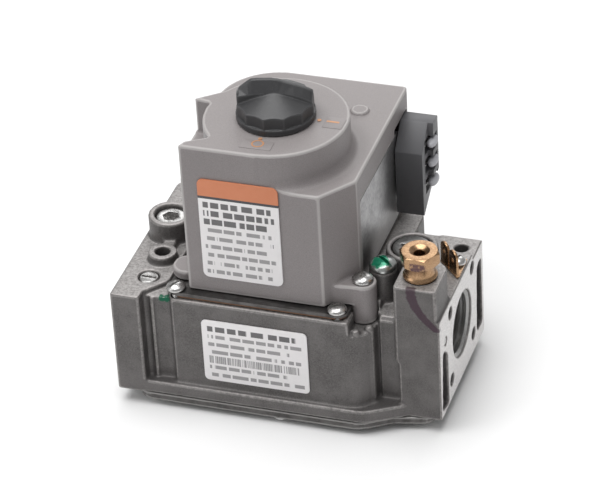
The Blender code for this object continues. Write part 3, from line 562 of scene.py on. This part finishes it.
def bright_steel(name="bright_steel", low=0.42, high=0.66, rough=0.26):
    """Turned or plated steel with fine lines and a little grime."""
    made = Finish(name, metallic=1.0)
    lines = made.noise(1.6, 4, 0.7, made.stretched(1, 1, 7))
    colour = made.mixed(made.ramp(lines, 0.3, 0.7), (low, low * 0.985, low * 0.97),
                        (high, high * 0.99, high * 0.975))
    grime = made.ramp(made.noise(0.5, 5, 0.7), 0.5, 0.75)
    colour = made.layered(colour, grime, 0.35, (0.16, 0.15, 0.14))
    made.set("Base Color", colour)
    made.set("Roughness", made.between(made.noise(0.9), rough - 0.06, rough + 0.1))
    made.bumped(lines, 0.012, 0.4)
    return made


def stamped_steel():
    """The plates: tumbled, darker than the screws, bright along the edges from worn metal and a painted
    edge highlight.
    """
    made = Finish("stamped_steel", metallic=0.9)
    cloud = made.ramp(made.noise(0.25, 5, 0.65), 0.3, 0.7)
    colour = made.mixed(cloud, (0.075, 0.071, 0.069), (0.140, 0.134, 0.131))
    scratches = made.ramp(made.noise(1.2, 3, 0.8, made.stretched(0.15, 2.4, 1)), 0.6, 0.72)
    colour = made.layered(colour, scratches, 0.25, (0.32, 0.31, 0.30))
    # Convex edges painted lighter: partly worn metal, partly a painted edge highlight.
    wear_and_highlight = made.ramp(made.attribute("edge_wear_and_highlight"), 0.08, 0.5)
    colour = made.layered(colour, wear_and_highlight, 0.55, (0.42, 0.41, 0.40))
    made.set("Base Color", colour)
    made.set("Roughness", made.between(made.noise(0.8), 0.34, 0.52))
    made.bumped(made.noise(1.8, 4), 0.04, 0.4)
    return made


def brass(name="brass", paint=None):
    """Turned brass; paint is a box in datum millimetres that carries purple inspection paint."""
    made = Finish(name, metallic=1.0)
    lines = made.noise(1.3, 4, 0.7, made.stretched(1, 1, 8))
    colour = made.mixed(made.ramp(lines, 0.25, 0.75), (0.30, 0.175, 0.095), (0.50, 0.325, 0.19))
    tarnish = made.ramp(made.noise(0.45, 5, 0.7), 0.48, 0.75)
    colour = made.layered(colour, tarnish, 0.5, (0.15, 0.08, 0.048))
    rough = made.between(made.noise(0.9), 0.2, 0.34)
    if paint:
        ragged = made.ramp(made.noise(1.1, 4), 0.36, 0.5)
        patch = made.times(made.inside(*paint, soft=0.4), ragged)
        colour = made.layered(colour, patch, 0.85, (0.055, 0.012, 0.030))
        made.set("Metallic", made.maths("SUBTRACT", 1.0, made.times(patch, 0.8)))
    made.set("Base Color", colour)
    made.set("Roughness", rough)
    made.bumped(lines, 0.012, 0.4)
    return made


def sealed_steel():
    """A plated screw with a dab of green sealing lacquer over its middle."""
    made = Finish("green_sealed_steel", metallic=1.0)
    spot = axis_of("pilot_seal_screw")
    axes = made.parts(made.place)
    away = []
    for index, centre in ((0, spot[0] - 0.6), (1, spot[1] - 0.8)):
        step = made.maths("SUBTRACT", axes[index], centre)
        away.append(made.times(step, step))
    distance = made.maths("SQRT", made.maths("ADD", *away))
    ragged = made.maths("ADD", distance, made.between(made.noise(0.45, 3), -1.6, 1.6))
    dab = made.ramp(ragged, 3.2, 2.4)
    steel = made.mixed(made.noise(0.8, 4), (0.3, 0.31, 0.3), (0.68, 0.7, 0.69))
    green = made.mixed(made.noise(0.6, 3), (0.005, 0.09, 0.045), (0.02, 0.36, 0.2))
    made.set("Base Color", made.mixed(dab, steel, green))
    made.set("Metallic", made.maths("SUBTRACT", 1.0, made.times(dab, 0.75)))
    made.set("Roughness", made.between(dab, 0.3, 0.14))
    made.bumped(made.noise(0.9, 4), 0.15, 0.35)
    return made


def brown_gasket():
    """Pressed brown fibre."""
    made = Finish("brown_gasket", roughness=0.85)
    fibre = made.noise(2.0, 5, 0.75, made.stretched(1, 1, 0.5))
    made.set("Base Color", made.mixed(fibre, (0.10, 0.045, 0.025), (0.33, 0.19, 0.12)))
    made.bumped(fibre, 0.06, 0.6)
    return made


def soft_rubber():
    """Matt black rubber."""
    made = Finish("soft_rubber", roughness=0.75)
    made.set("Base Color", made.mixed(made.noise(1.2, 4), (0.014, 0.014, 0.014), (0.045, 0.044, 0.043)))
    made.bumped(made.noise(3.0, 3), 0.03, 0.5)
    return made


def copper_turns():
    """Enamelled wire wound on a bobbin: fine rings with the layers' colour variation."""
    made = Finish("copper_turns", metallic=0.8, roughness=0.35)
    rows = wired(made.tree, "TexWave", {"Vector": made.place, "Scale": 1.4, "Distortion": 0.3},
                 bands_direction="Z").outputs["Fac"]
    colour = made.mixed(rows, (0.28, 0.10, 0.05), (0.62, 0.29, 0.15))
    made.set("Base Color", made.layered(colour, made.noise(0.3), 0.3, (0.4, 0.17, 0.09)))
    made.bumped(rows, 0.08, 0.7)
    return made


def copper_ink():
    """The copper-coloured ink of the dial marks."""
    made = Finish("dial_ink", roughness=0.45, metallic=0.3)
    made.set("Base Color", made.mixed(made.noise(2.5, 3), (0.42, 0.20, 0.10), (0.66, 0.37, 0.22)))
    made.bumped(made.noise(4.0, 2), 0.02, 0.4)
    return made


def film(name, header, rows, bars, stripes=-1):
    """A blank printed sticker: an optional orange band over a dark line, then rows of grey bars.

    header is the band's height, rows the number of bar lines and bars how finely they break up.
    stripes is the row, if any, that is a tall line of narrow stripes instead.
    """
    made = Finish(name, roughness=0.42, specular=0.5)
    low, high = span(name)
    axes = made.parts(made.place)
    width = high.x - low.x
    height = high.z - low.z
    across = made.maths("DIVIDE", made.maths("SUBTRACT", axes[0], low.x), width)
    down = made.maths("SUBTRACT", high.z, axes[2])
    aged = made.noise(0.35, 4)
    colour = made.mixed(aged, (0.74, 0.72, 0.725), (0.82, 0.80, 0.805))
    line = (height - header - 2.4) / rows
    bold = 3.0 if header else 1.0
    place = made.maths("DIVIDE", made.maths("SUBTRACT", down, header + 1.6), line)
    row = made.maths("FLOOR", place)
    within = made.maths("SUBTRACT", place, row)
    heavy = made.maths("LESS_THAN", row, bold)
    inset = made.maths("SUBTRACT", 0.5, made.maths("ABSOLUTE", made.maths("SUBTRACT", within, 0.5)))
    striped = made.maths("COMPARE", row, float(stripes))
    weight = made.maths("ADD", made.times(heavy, 0.11), made.times(striped, 0.25))
    tall = made.maths("GREATER_THAN", inset, made.maths("SUBTRACT", 0.27, weight))
    fineness = made.maths("ADD", bars, made.times(striped, bars * 6))
    columns = made.times(across, fineness)
    spread = wired(made.tree, "CombineXYZ", {0: columns, 1: row}).outputs[0]
    breaks = wired(made.tree, "TexVoronoi", {"Vector": spread, "Scale": 1.0, "Randomness": 0.8},
                   feature="DISTANCE_TO_EDGE", voronoi_dimensions="2D").outputs["Distance"]
    uneven = made.times(made.maths("SINE", made.times(row, 2.3)), 0.06)
    ends = made.maths("ADD", 0.90, uneven)
    wide = made.times(made.ramp(across, 0.05, 0.06), made.maths("LESS_THAN", across, ends))
    bar = made.times(tall, wide, made.ramp(breaks, 0.05, 0.09))
    used = made.times(made.maths("GREATER_THAN", place, 0.0),
                      made.maths("LESS_THAN", place, float(rows)))
    ink = made.maths("ADD", 0.66, made.times(heavy, 0.24))
    colour = made.mixed(made.times(bar, used, ink), colour, (0.055, 0.052, 0.055))
    if header:
        orange = made.mixed(aged, (0.55, 0.185, 0.085), (0.60, 0.225, 0.115))
        colour = made.mixed(made.maths("LESS_THAN", down, header + 0.9), colour, (0.055, 0.055, 0.06))
        colour = made.mixed(made.maths("LESS_THAN", down, header), colour, orange)
    made.set("Base Color", colour)
    made.set("Roughness", made.between(made.noise(0.8), 0.36, 0.5))
    made.bumped(made.noise(0.5, 3), 0.03, 0.3)
    return made


CAST = cast_metal().material
GREY = grey_plastic().material
BLACK = black_plastic().material
TERMINAL_BLACK = black_plastic("terminal_black", 0.095, 0.42).material
LOBE_GREY = black_plastic("terminal_grey", 0.42, 0.40).material
ZINC = zinc_plate().material
STEEL = bright_steel().material
DULL_STEEL = bright_steel("dull_steel", 0.26, 0.44, 0.36).material
STAMPED = stamped_steel().material
BRASS = brass().material
SEALED = sealed_steel().material
GASKET = brown_gasket().material
RUBBER = soft_rubber().material
COPPER = copper_turns().material
INK = copper_ink().material
COVER_FILM = film("cover_label", 6.0, 9, 7.0).material
RATING_FILM = film("rating_label", 0.0, 7, 8.0, 4).material


# ---------------------------------------------------------------- casting and plates

def casting():
    """The casting with soft cast edges and its two round columns."""
    body = copy_of("valve_body", "casting", CAST)
    carve(body, *casting_columns(), operation="UNION")
    softened(body, voxel=0.45, rounds=4, faces=110000)
    finished(body, "valve", "cast_metal", "valve_body")


def casting_columns():
    """Two round columns at the label wall's right corner."""
    for spot in ((78.6, -3.4), (82.1, -0.2)):
        yield turned([(0, 3.5), (1.5, 3.5), (1.5, 31.2), (1.1, 32.4), (0, 32.6)], spot, 20)


def port_thread(name, face_x, inward):
    """Pipe thread ridges in a port; inward is +1 or -1 along X from the face."""
    ridges = int(PORT_DEPTH / THREAD_PITCH)
    end = THREAD_START + ridges * THREAD_PITCH
    profile = [(PORT_RADIUS + 0.25, THREAD_START)]
    for ridge in range(ridges):
        start = THREAD_START + ridge * THREAD_PITCH
        narrow = PORT_TAPER * start
        profile.append((PORT_RADIUS - 0.05 - narrow, start + 0.1))
        profile.append((PORT_RADIUS - 1.0 - narrow, start + 0.85))
        profile.append((PORT_RADIUS - 1.0 - narrow, start + 1.05))
    profile.append((PORT_RADIUS - 0.05 - PORT_TAPER * PORT_DEPTH, end))
    profile.append((PORT_RADIUS + 0.25, end))
    shape = turned(profile, sides=72, closed=True)
    aimed(shape, (face_x, PORT_Y, PORT_Z), (inward, 0, 0))
    thread = mesh_object(name, shape, DULL_STEEL)
    smooth(thread, 25)
    finished(thread, "valve", "cast_metal")


def plates():
    """The stamped plates below and above the casting, and the gasket under the upper one."""
    lower = copy_of("bottom_plate", "lower_plate", STAMPED)
    softened(lower, voxel=0.4, rounds=3, faces=40000)
    finished(lower, "valve", "stamped_steel", "bottom_plate")
    for node, name, finish, slot, width in (("top_plate", "upper_plate", STAMPED, "stamped_steel", 0.22),
                                            ("top_gasket", "upper_gasket", GASKET, "gasket", 0.1)):
        sheet = bevelled(copy_of(node, name, finish), width, 2)
        finished(sheet, "valve", slot, node)


# ---------------------------------------------------------------- cover, dial and labels

def cover_outline(inset):
    """The cover's plan, inside its outer face by inset: chamfered right front, round left rear."""
    left = 20.2 + inset
    front = -2 + inset
    right = 77.1 - inset
    cant = inset * 0.38
    return rounded(((24.4 + inset, front, 0.8), (68.4 - cant, front, 0.8), (right, 9.4 + cant, 0.8),
                    (right, 65.4 - inset, 1.5), (left, 65.4 - inset, 19), (left, 14, 1),
                    (24.4 + inset, 9, 1)), 20)


def dial_fillet():
    """The concave foot where the round dial tower rises from the cover's flat top."""
    reach = 3.0
    profile = [(TURRET_RADIUS - 1, PLATEAU - 1), (TURRET_RADIUS + reach, PLATEAU - 1)]
    for step in range(9):
        angle = math.pi / 2 * step / 8
        profile.append((TURRET_RADIUS + reach * (1 - math.sin(angle)),
                        PLATEAU + reach * (1 - math.cos(angle))))
    profile.append((TURRET_RADIUS - 1, PLATEAU + reach))
    ring = mesh_object("fillet", turned(profile, TURRET, 128, True))
    return carve(ring, prism(cover_outline(0.1), PLATEAU - 5, PLATEAU + 9), operation="INTERSECT")


def shape_of(target):
    """A piece's shape back in datum millimetres; the piece itself is removed."""
    shape = bmesh.new()
    shape.from_mesh(target.data)
    bmesh.ops.scale(shape, vec=(1 / MM,) * 3, verts=shape.verts)
    bpy.data.objects.remove(target)
    return shape


def cover():
    """The moulded cover with its dial tower, screw boss and foot, hollow below."""
    low, high = span("control_cover")
    base = span("top_plate")[1].z + 0.3
    boss = axis_of("cover_screw")
    shell = mesh_object("cover_shell", prism(cover_outline(0), base, PLATEAU), GREY)
    front_left = [(24.4, -2), (49.0, -2), TURRET, (31.9, 4.9), (25.6, 1.1)]
    wing = [(20.5, 24.9), TURRET, (48, 43), (40.2, 42.6), (32.3, 34.4)]
    web = rounded(((66, 0.4, 0), (79.4, 1.4, 2), (82.6, 6, 1), (80.6, 8.9, 1), (70, 8.9, 0)))
    added = (prism(circle(TURRET, TURRET_RADIUS, 160), 70, high.z), prism(front_left, 70, high.z),
             prism(wing, 70, high.z), shape_of(dial_fillet()),
             prism(circle((21.6, 6.6), 4.8), base, 41.6), prism(web, base, 45.2),
             prism(circle(boss, 4.2), low.z, 45.2), prism(circle((66.7, 47.6), 2.7), 77, PLATEAU + 1.0))
    carve(shell, *added, operation="UNION")
    carve(shell, prism(cover_outline(2), base - 2, PLATEAU - 2),
          prism(circle(TURRET, TURRET_RADIUS - 2, 96), 60, high.z - 2.6),
          block((74, 12.6, base - 1), (80, 63.4, 69.6)),
          block((75.4, 49.7, 60), (80, 63.4, 71.8)),
          prism(circle(TURRET, 3.4), 80, high.z + 1), prism(circle(boss, 1.9), 30, 50))
    softened(shell, voxel=0.42, rounds=4, faces=90000)
    finished(shell, "valve", "grey_plastic", "control_cover")


def dial_marks():
    """A ring and dot for off at the front, and a bar and dot for on at the right."""
    centre = Vector((*axis_of("knob_stem"), 0))
    top = span("control_cover")[1].z
    high = top + 0.2
    off = centre + Vector((-0.6, -16.4, 0))
    on = centre + Vector((18.0, 0.5, 0))
    ring = ((2.0, top - 0.2), (1.45, top - 0.2), (1.45, high), (2.0, high))
    marks = {
        "off_ring": turned(ring, off, 40, True),
        "off_dot": prism(circle(centre + Vector((-0.7, -13.5, 0)), 0.65, 24), top - 0.2, high),
        "on_bar": block((on.x - 2.0, on.y - 0.4, top - 0.2), (on.x + 2.0, on.y + 0.4, high)),
        "on_dot": prism(circle(centre + Vector((13.6, 0.6, 0)), 0.65, 24), top - 0.2, high),
    }
    for name, shape in marks.items():
        mark = smooth(mesh_object(f"dial_{name}", shape, INK))
        finished(mark, "valve", "grey_plastic")
    pads = {"off": (off.x - 5.2, off.y - 2.9, off.x + 4.8, off.y + 1.9),
            "on": (on.x - 2.6, on.y - 3.4, on.x + 3.6, on.y + 2.6)}
    for name, (left, front, right, back) in pads.items():
        pad = rounded(((left, front, 0.4), (right, front, 0.4), (right, back, 0.4), (left, back, 0.4)), 4)
        made = bevelled(mesh_object(f"dial_pad_{name}", prism(pad, top - 0.3, top + 0.14), GREY), 0.08, 2)
        finished(made, "valve", "grey_plastic")


def label_sheets():
    """The two stickers, with round corners."""
    for node, finish, radius in (("cover_label", COVER_FILM, 2.0), ("rating_label", RATING_FILM, 1.5)):
        low, high = span(node)
        corners = [(low.x, low.z, radius), (high.x, low.z, radius), (high.x, high.z, radius),
                   (low.x, high.z, radius)]
        sheet = mesh_object(node.replace("label", "sticker"),
                            prism(rounded(corners), low.y, high.y + 0.25, "Y"), finish)
        bevelled(sheet, 0.06, 2)
        finished(sheet, "valve", "label_film", node)


# ---------------------------------------------------------------- knob

def grip_bar():
    """The grip: upright sides, bevels up to a narrow ridge, and a nose that slopes down."""
    ridge_line = ((-12.5, 99.2), (-11.4, 100.2), (-10.9, 101.4), (-8, 103.7), (-7, 104.3),
                  (-5, 104.45), (-0.6, 104.45), (1.2, 104.2), (2.8, 103.6), (6.0, 102.6),
                  (8.8, 101.6), (10.8, 100.7), (12.5, 99.6))
    shape = bmesh.new()
    sections = []
    for along, ridge in ridge_line:
        droop = 3.2 if along > 0 else 1.2
        shoulder = min(100.9 - droop * (along / 11.6) ** 2, ridge - 0.2)
        outline = ((-3, 94), (-3, shoulder), (-0.6, ridge), (0.6, ridge), (3, shoulder), (3, 94))
        sections.append([shape.verts.new((along, across, height)) for across, height in outline])
    for first, second in zip(sections, sections[1:]):
        for index in range(len(first)):
            after = (index + 1) % len(first)
            shape.faces.new((first[index], first[after], second[after], second[index]))
    shape.faces.new(sections[0])
    shape.faces.new(sections[-1])
    turn = Matrix.Translation((*TURRET, 0)) @ Matrix.Rotation(KNOB_POINTING, 4, "Z")
    bmesh.ops.transform(shape, matrix=turn, verts=shape.verts)
    bmesh.ops.triangulate(shape, faces=shape.faces)
    bmesh.ops.recalc_face_normals(shape, faces=shape.faces)
    bar = mesh_object("bar", shape)
    return shape_of(carve(bar, prism(circle(TURRET, 11.75, 96), 90, 110), operation="INTERSECT"))


def knob():
    """A base rim, a wall with twelve flutes, a cone above it and the grip bar across the cone."""
    low, high = span("control_knob")
    radius = (high.x - low.x) / 2
    rim = [(0, low.z), (radius - 0.1, low.z), (radius, low.z + 0.3), (radius, low.z + 1.9),
           (0, low.z + 2.1)]
    grip = mesh_object("knob_grip", turned(rim, TURRET, 128), BLACK)
    outline = []
    steps = KNOB_FLUTES * FLUTE_STEPS
    for step in range(steps):
        angle = 2 * math.pi * (step + FLUTE_STEPS / 2) / steps
        reach = radius - 0.2 - FLUTE_DEPTH * abs(math.sin(KNOB_FLUTES / 2 * angle))
        outline.append((TURRET[0] + reach * math.cos(angle), TURRET[1] + reach * math.sin(angle)))
    wall = mesh_object("wall", prism(outline, low.z + 1, 102))
    cone = turned([(0, low.z), (15, low.z), (15, 95.7), (3, 100.9), (0, 101.2)], TURRET, 96)
    carve(wall, cone, operation="INTERSECT")
    carve(grip, shape_of(wall), grip_bar(), operation="UNION")
    carve(grip, prism(circle(TURRET, 3.3, 48), low.z - 1, low.z + 8.0))
    softened(grip, voxel=0.2, rounds=3, faces=50000)
    finished(grip, "knob", "black_plastic", "control_knob")


# ---------------------------------------------------------------- bracket and terminals

def bracket():
    """The zinc-plated bracket, its edges rounded."""
    made = bevelled(copy_of("solenoid_bracket", "coil_bracket", ZINC), 0.25, 2)
    finished(made, "valve", "zinc_steel", "solenoid_bracket")


def terminals():
    """The terminal block, its three lobes and its three spade tabs, each with a hole."""
    shell = bevelled(copy_of("terminal_block", "terminal_shell", TERMINAL_BLACK), 0.35, 3)
    finished(shell, "valve", "black_plastic", "terminal_block")
    for number in (1, 2, 3):
        terminal_lobe(number)
    for number in (1, 2, 3):
        node = f"terminal_tab_{number}"
        low, high = span(node)
        tab = copy_of(node, f"spade_tab_{number}", STEEL)
        middle = ((low.x + high.x) / 2 + 0.6, (low.y + high.y) / 2)
        hole = prism(circle(middle, 0.85, 24), low.z - 1, high.z + 1)
        carve(tab, hole)
        bevelled(tab, 0.15, 2)
        finished(tab, "valve", "zinc_steel", node)


def terminal_lobe(number):
    """A light lobe moulded in a terminal's pocket, in front of its tab."""
    face = span("terminal_block")[1].x
    low, high = span(f"terminal_tab_{number}")
    lobe = bmesh.new()
    bmesh.ops.create_uvsphere(lobe, u_segments=28, v_segments=16, radius=1.0)
    bmesh.ops.scale(lobe, vec=(1.6, 3.4, 1.5), verts=lobe.verts)
    bmesh.ops.translate(lobe, vec=(face - 0.6, high.y - 2.0, (low.z + high.z) / 2), verts=lobe.verts)
    barrier = mesh_object(f"terminal_lobe_{number}", lobe, LOBE_GREY)
    smooth(barrier, 60)
    finished(barrier, "valve", "black_plastic")


# ---------------------------------------------------------------- screws, plugs and fittings

def screw_piece(node, name, finish, slot, drive, up=1):
    """A machine screw on a CAD screw's axis, with a domed head and a real drive recess."""
    low, high = span(node)
    centre = axis_of(node)
    radius = (high.x - low.x) / 2
    tall = {"slot": 1.9, "socket": 2.0, "seal": 3.0, "under": 1.3}[drive]
    head_low = high.z - tall if up > 0 else low.z + tall
    tip = low.z if up > 0 else high.z
    shank = SEAL_SHANK if drive == "seal" else SCREW_SHANK
    profile = [(0, tip), (shank * 0.8, tip), (shank, tip + up * 0.4)]
    turns = int(abs(head_low - tip - up * 0.6) / SCREW_PITCH)
    for turn in range(turns):
        profile.append((shank, tip + up * (0.45 + turn * SCREW_PITCH)))
        profile.append((shank - THREAD_DEPTH, tip + up * (0.85 + turn * SCREW_PITCH)))
    profile.append((shank, head_low))
    for out, height in dome(radius, 0, tall):
        profile.append((out, head_low + up * height))
    made = mesh_object(name, turned(profile, centre, 40), finish)
    peak = head_low + up * tall
    floor = peak - up * tall * 0.55
    bottom = min(floor, peak + up)
    top = max(floor, peak + up)
    if drive == "socket":
        carve(made, prism(circle(centre, 1.3, 6), bottom, top))
    else:
        wide = 0.4 if drive != "seal" else 0.55
        reach = radius * 0.78 if drive == "slot" else radius * 1.1
        slit = block((centre[0] - reach, centre[1] - wide, bottom),
                     (centre[0] + reach, centre[1] + wide, top))
        turn = Matrix.Translation((*centre, 0)) @ Matrix.Rotation(DRIVE_TURN.uniform(0, 3.1), 4, "Z")
        slit.transform(turn @ Matrix.Translation((-centre[0], -centre[1], 0)))
        carve(made, slit)
    smooth(made, 40)
    return finished(made, "valve", slot, node)


def screws():
    """Every screw of the valve; the bottom plate screws point up."""
    for number in range(1, 5):
        screw_piece(f"top_plate_screw_{number}", f"pan_screw_{number}", STEEL, "zinc_steel", "slot")
    for number in range(1, 7):
        screw_piece(f"bottom_plate_screw_{number}", f"base_screw_{number}", STEEL, "zinc_steel",
                    "under", up=-1)
    for number in (1, 2):
        screw_piece(f"bracket_screw_{number}", f"yoke_screw_{number}", STEEL, "zinc_steel", "slot")
    screw_piece("cover_screw", "button_screw", STEEL, "zinc_steel", "socket")
    screw_piece("ground_screw", "earth_screw", STEEL, "zinc_steel", "slot")
    screw_piece("pilot_seal_screw", "sealed_screw", SEALED, "green_sealed_steel", "seal")


def pilot_fitting():
    """Compression fitting: collar, necked barrel and a hexagon nut with turned chamfers."""
    low, high = span("pilot_fitting")
    centre = axis_of("pilot_fitting")
    collar = low.z + 7
    profile = [(0, low.z), (4.6, low.z), (4.6, collar + 0.1), (5.3, collar + 0.3),
               (5.4, collar + 0.9), (5.2, collar + 1.3), (4.75, collar + 1.7), (4.6, collar + 2.6),
               (4.6, collar + 5), (0, collar + 5)]
    made = mesh_object("brass_fitting", turned(profile, centre, 72), FITTING_BRASS)
    nut = mesh_object("nut", prism(circle(centre, 6.4, 6), collar + 4.8, high.z), FITTING_BRASS)
    cone = turned([(0, collar + 4), (5.1, collar + 4.85), (6.5, collar + 5.9), (6.5, high.z - 0.6),
                   (5.5, high.z - 0.02), (0, high.z)], centre, 72)
    carve(nut, cone, operation="INTERSECT")
    carve(made, shape_of(nut), operation="UNION")
    bore = [(0, low.z - 1), (1.7, low.z - 1), (1.7, high.z - 1.0), (2.0, high.z - 0.7),
            (3.3, high.z + 0.02), (3.3, high.z + 1), (0, high.z + 1)]
    carve(made, turned(bore, centre, 40))
    bevelled(made, 0.12, 2, 28)
    finished(made, "valve", "brass", "pilot_fitting")


def fitting_paint():
    """The box on the nut's front that carries purple inspection paint."""
    x, y = axis_of("pilot_fitting")
    top = span("pilot_fitting")[1].z
    return (x - 1.6, y - 8, top - 4.9), (x + 3.2, y - 3.2, top - 1.6)


def caps_and_plugs():
    """The regulator's cap, the two inlet plugs and the outlet face's plug."""
    for node, name, finish, slot in (("regulator_cap", "regulator_cover", DULL_STEEL, "cast_metal"),
                                     ("inlet_tap_plug", "tap_plug", STEEL, "bare_steel"),
                                     ("inlet_slotted_plug", "slotted_plug", STEEL, "bare_steel"),
                                     ("outlet_face_plug", "face_plug", STEEL, "zinc_steel")):
        made = bevelled(copy_of(node, name, finish), 0.18, 3)
        finished(made, "valve", slot, node)


def earth_terminal():
    """The brass earth terminal with two spades."""
    made = bevelled(copy_of("ground_terminal", "earth_spades", BRASS), 0.14, 2)
    finished(made, "valve", "brass", "ground_terminal")


# ---------------------------------------------------------------- carried-over nodes

def inner_finishes():
    """Materials for the CAD nodes that stay as they are, most of them inside."""
    finishes = {
        RUBBER: ("main_diaphragm", "stem_seal", "main_valve_disc"),
        COPPER: ("pilot_coil_winding", "main_coil_winding"),
        BLACK: ("pilot_coil_bobbin", "main_coil_bobbin", "regulator_adjust_screw"),
        BRASS: ("pilot_adjust_needle",),
        ZINC: ("diaphragm_plate", "inlet_screen", "regulator_spring", "pilot_plunger_spring",
               "main_plunger_spring"),
        STEEL: ("port_plate", "rotary_shutoff_disc", "knob_stem", "main_valve_stem", "main_valve_spring",
                "pilot_coil_core", "main_coil_core", "pilot_plunger", "main_plunger"),
    }
    for finish, names in finishes.items():
        for name in names:
            mesh = NODES[name].data
            mesh.materials.clear()
            mesh.materials.append(finish)


# ---------------------------------------------------------------- studio

def studio():
    """A flat pale floor, soft light from above, the front and behind, and the camera."""
    floor = pale_floor()
    soft_light("overhead", (-0.15, -0.10, 1.25), 1.2, 15.0)
    soft_light("front_left", (-0.9, -0.7, 0.7), 0.7, 2.2)
    soft_light("back", (-0.1, 1.1, 0.7), 0.8, 3.0)
    world = bpy.data.worlds.new("studio")
    world.use_nodes = True
    world.node_tree.nodes["Background"].inputs["Color"].default_value = (1, 1, 1, 1)
    world.node_tree.nodes["Background"].inputs["Strength"].default_value = 0.40
    bpy.context.scene.world = world
    bpy.context.scene.view_settings.view_transform = "Standard"
    point_camera()


def pale_floor():
    """A square of floor just below the valve, far wider than the camera sees."""
    mesh = bpy.data.meshes.new("floor")
    half = 6.0
    low = CAD_BOX[0][2] - 0.02 * MM
    corners = [(-half, -half, low), (half, -half, low), (half, half, low), (-half, half, low)]
    mesh.from_pydata(corners, [], [(0, 1, 2, 3)])
    floor = bpy.data.objects.new("floor", mesh)
    bpy.context.scene.collection.objects.link(floor)
    white = Finish("white_floor", roughness=0.9)
    white.set("Base Color", white.mixed(white.noise(0.01), (0.86, 0.86, 0.86), (0.89, 0.89, 0.89)))
    mesh.materials.append(white.material)
    return floor


def soft_light(name, place, size, power):
    """A round area light aimed at the valve."""
    data = bpy.data.lights.new(name, "AREA")
    data.shape = "DISK"
    data.size = size
    data.energy = power
    lamp = bpy.data.objects.new(name, data)
    lamp.location = place
    lamp.rotation_euler = (CAMERA_TARGET - Vector(place)).to_track_quat("-Z", "Y").to_euler()
    bpy.context.scene.collection.objects.link(lamp)


def point_camera():
    """The camera, at the angles and distance stated above."""
    azimuth = math.radians(CAMERA_AZIMUTH)
    elevation = math.radians(CAMERA_ELEVATION)
    roll = math.radians(CAMERA_ROLL)
    back = Vector((math.sin(azimuth) * math.cos(elevation), -math.cos(azimuth) * math.cos(elevation),
                   math.sin(elevation)))
    right = (-back).cross(Vector((0, 0, 1))).normalized()
    up = right.cross(-back)
    across = right * math.cos(roll) + up * math.sin(roll)
    upward = up * math.cos(roll) - right * math.sin(roll)
    data = bpy.data.cameras.new("camera")
    data.lens = CAMERA_LENS
    data.sensor_width = 36
    data.clip_end = 20
    camera = bpy.data.objects.new("camera", data)
    turn = Matrix((across, upward, back)).transposed().to_4x4()
    camera.matrix_world = Matrix.Translation(CAMERA_TARGET + back * CAMERA_DISTANCE) @ turn
    bpy.context.scene.collection.objects.link(camera)
    bpy.context.scene.camera = camera


# ---------------------------------------------------------------- assembly

DRIVE_TURN = random.Random(7)
FITTING_BRASS = brass("fitting_brass", fitting_paint()).material

studio()
casting()
port_thread("outlet_thread", LENGTH, -1)
port_thread("inlet_thread", 0.0, 1)
plates()
cover()
dial_marks()
label_sheets()
knob()
bracket()
terminals()
screws()
pilot_fitting()
caps_and_plugs()
earth_terminal()
inner_finishes()
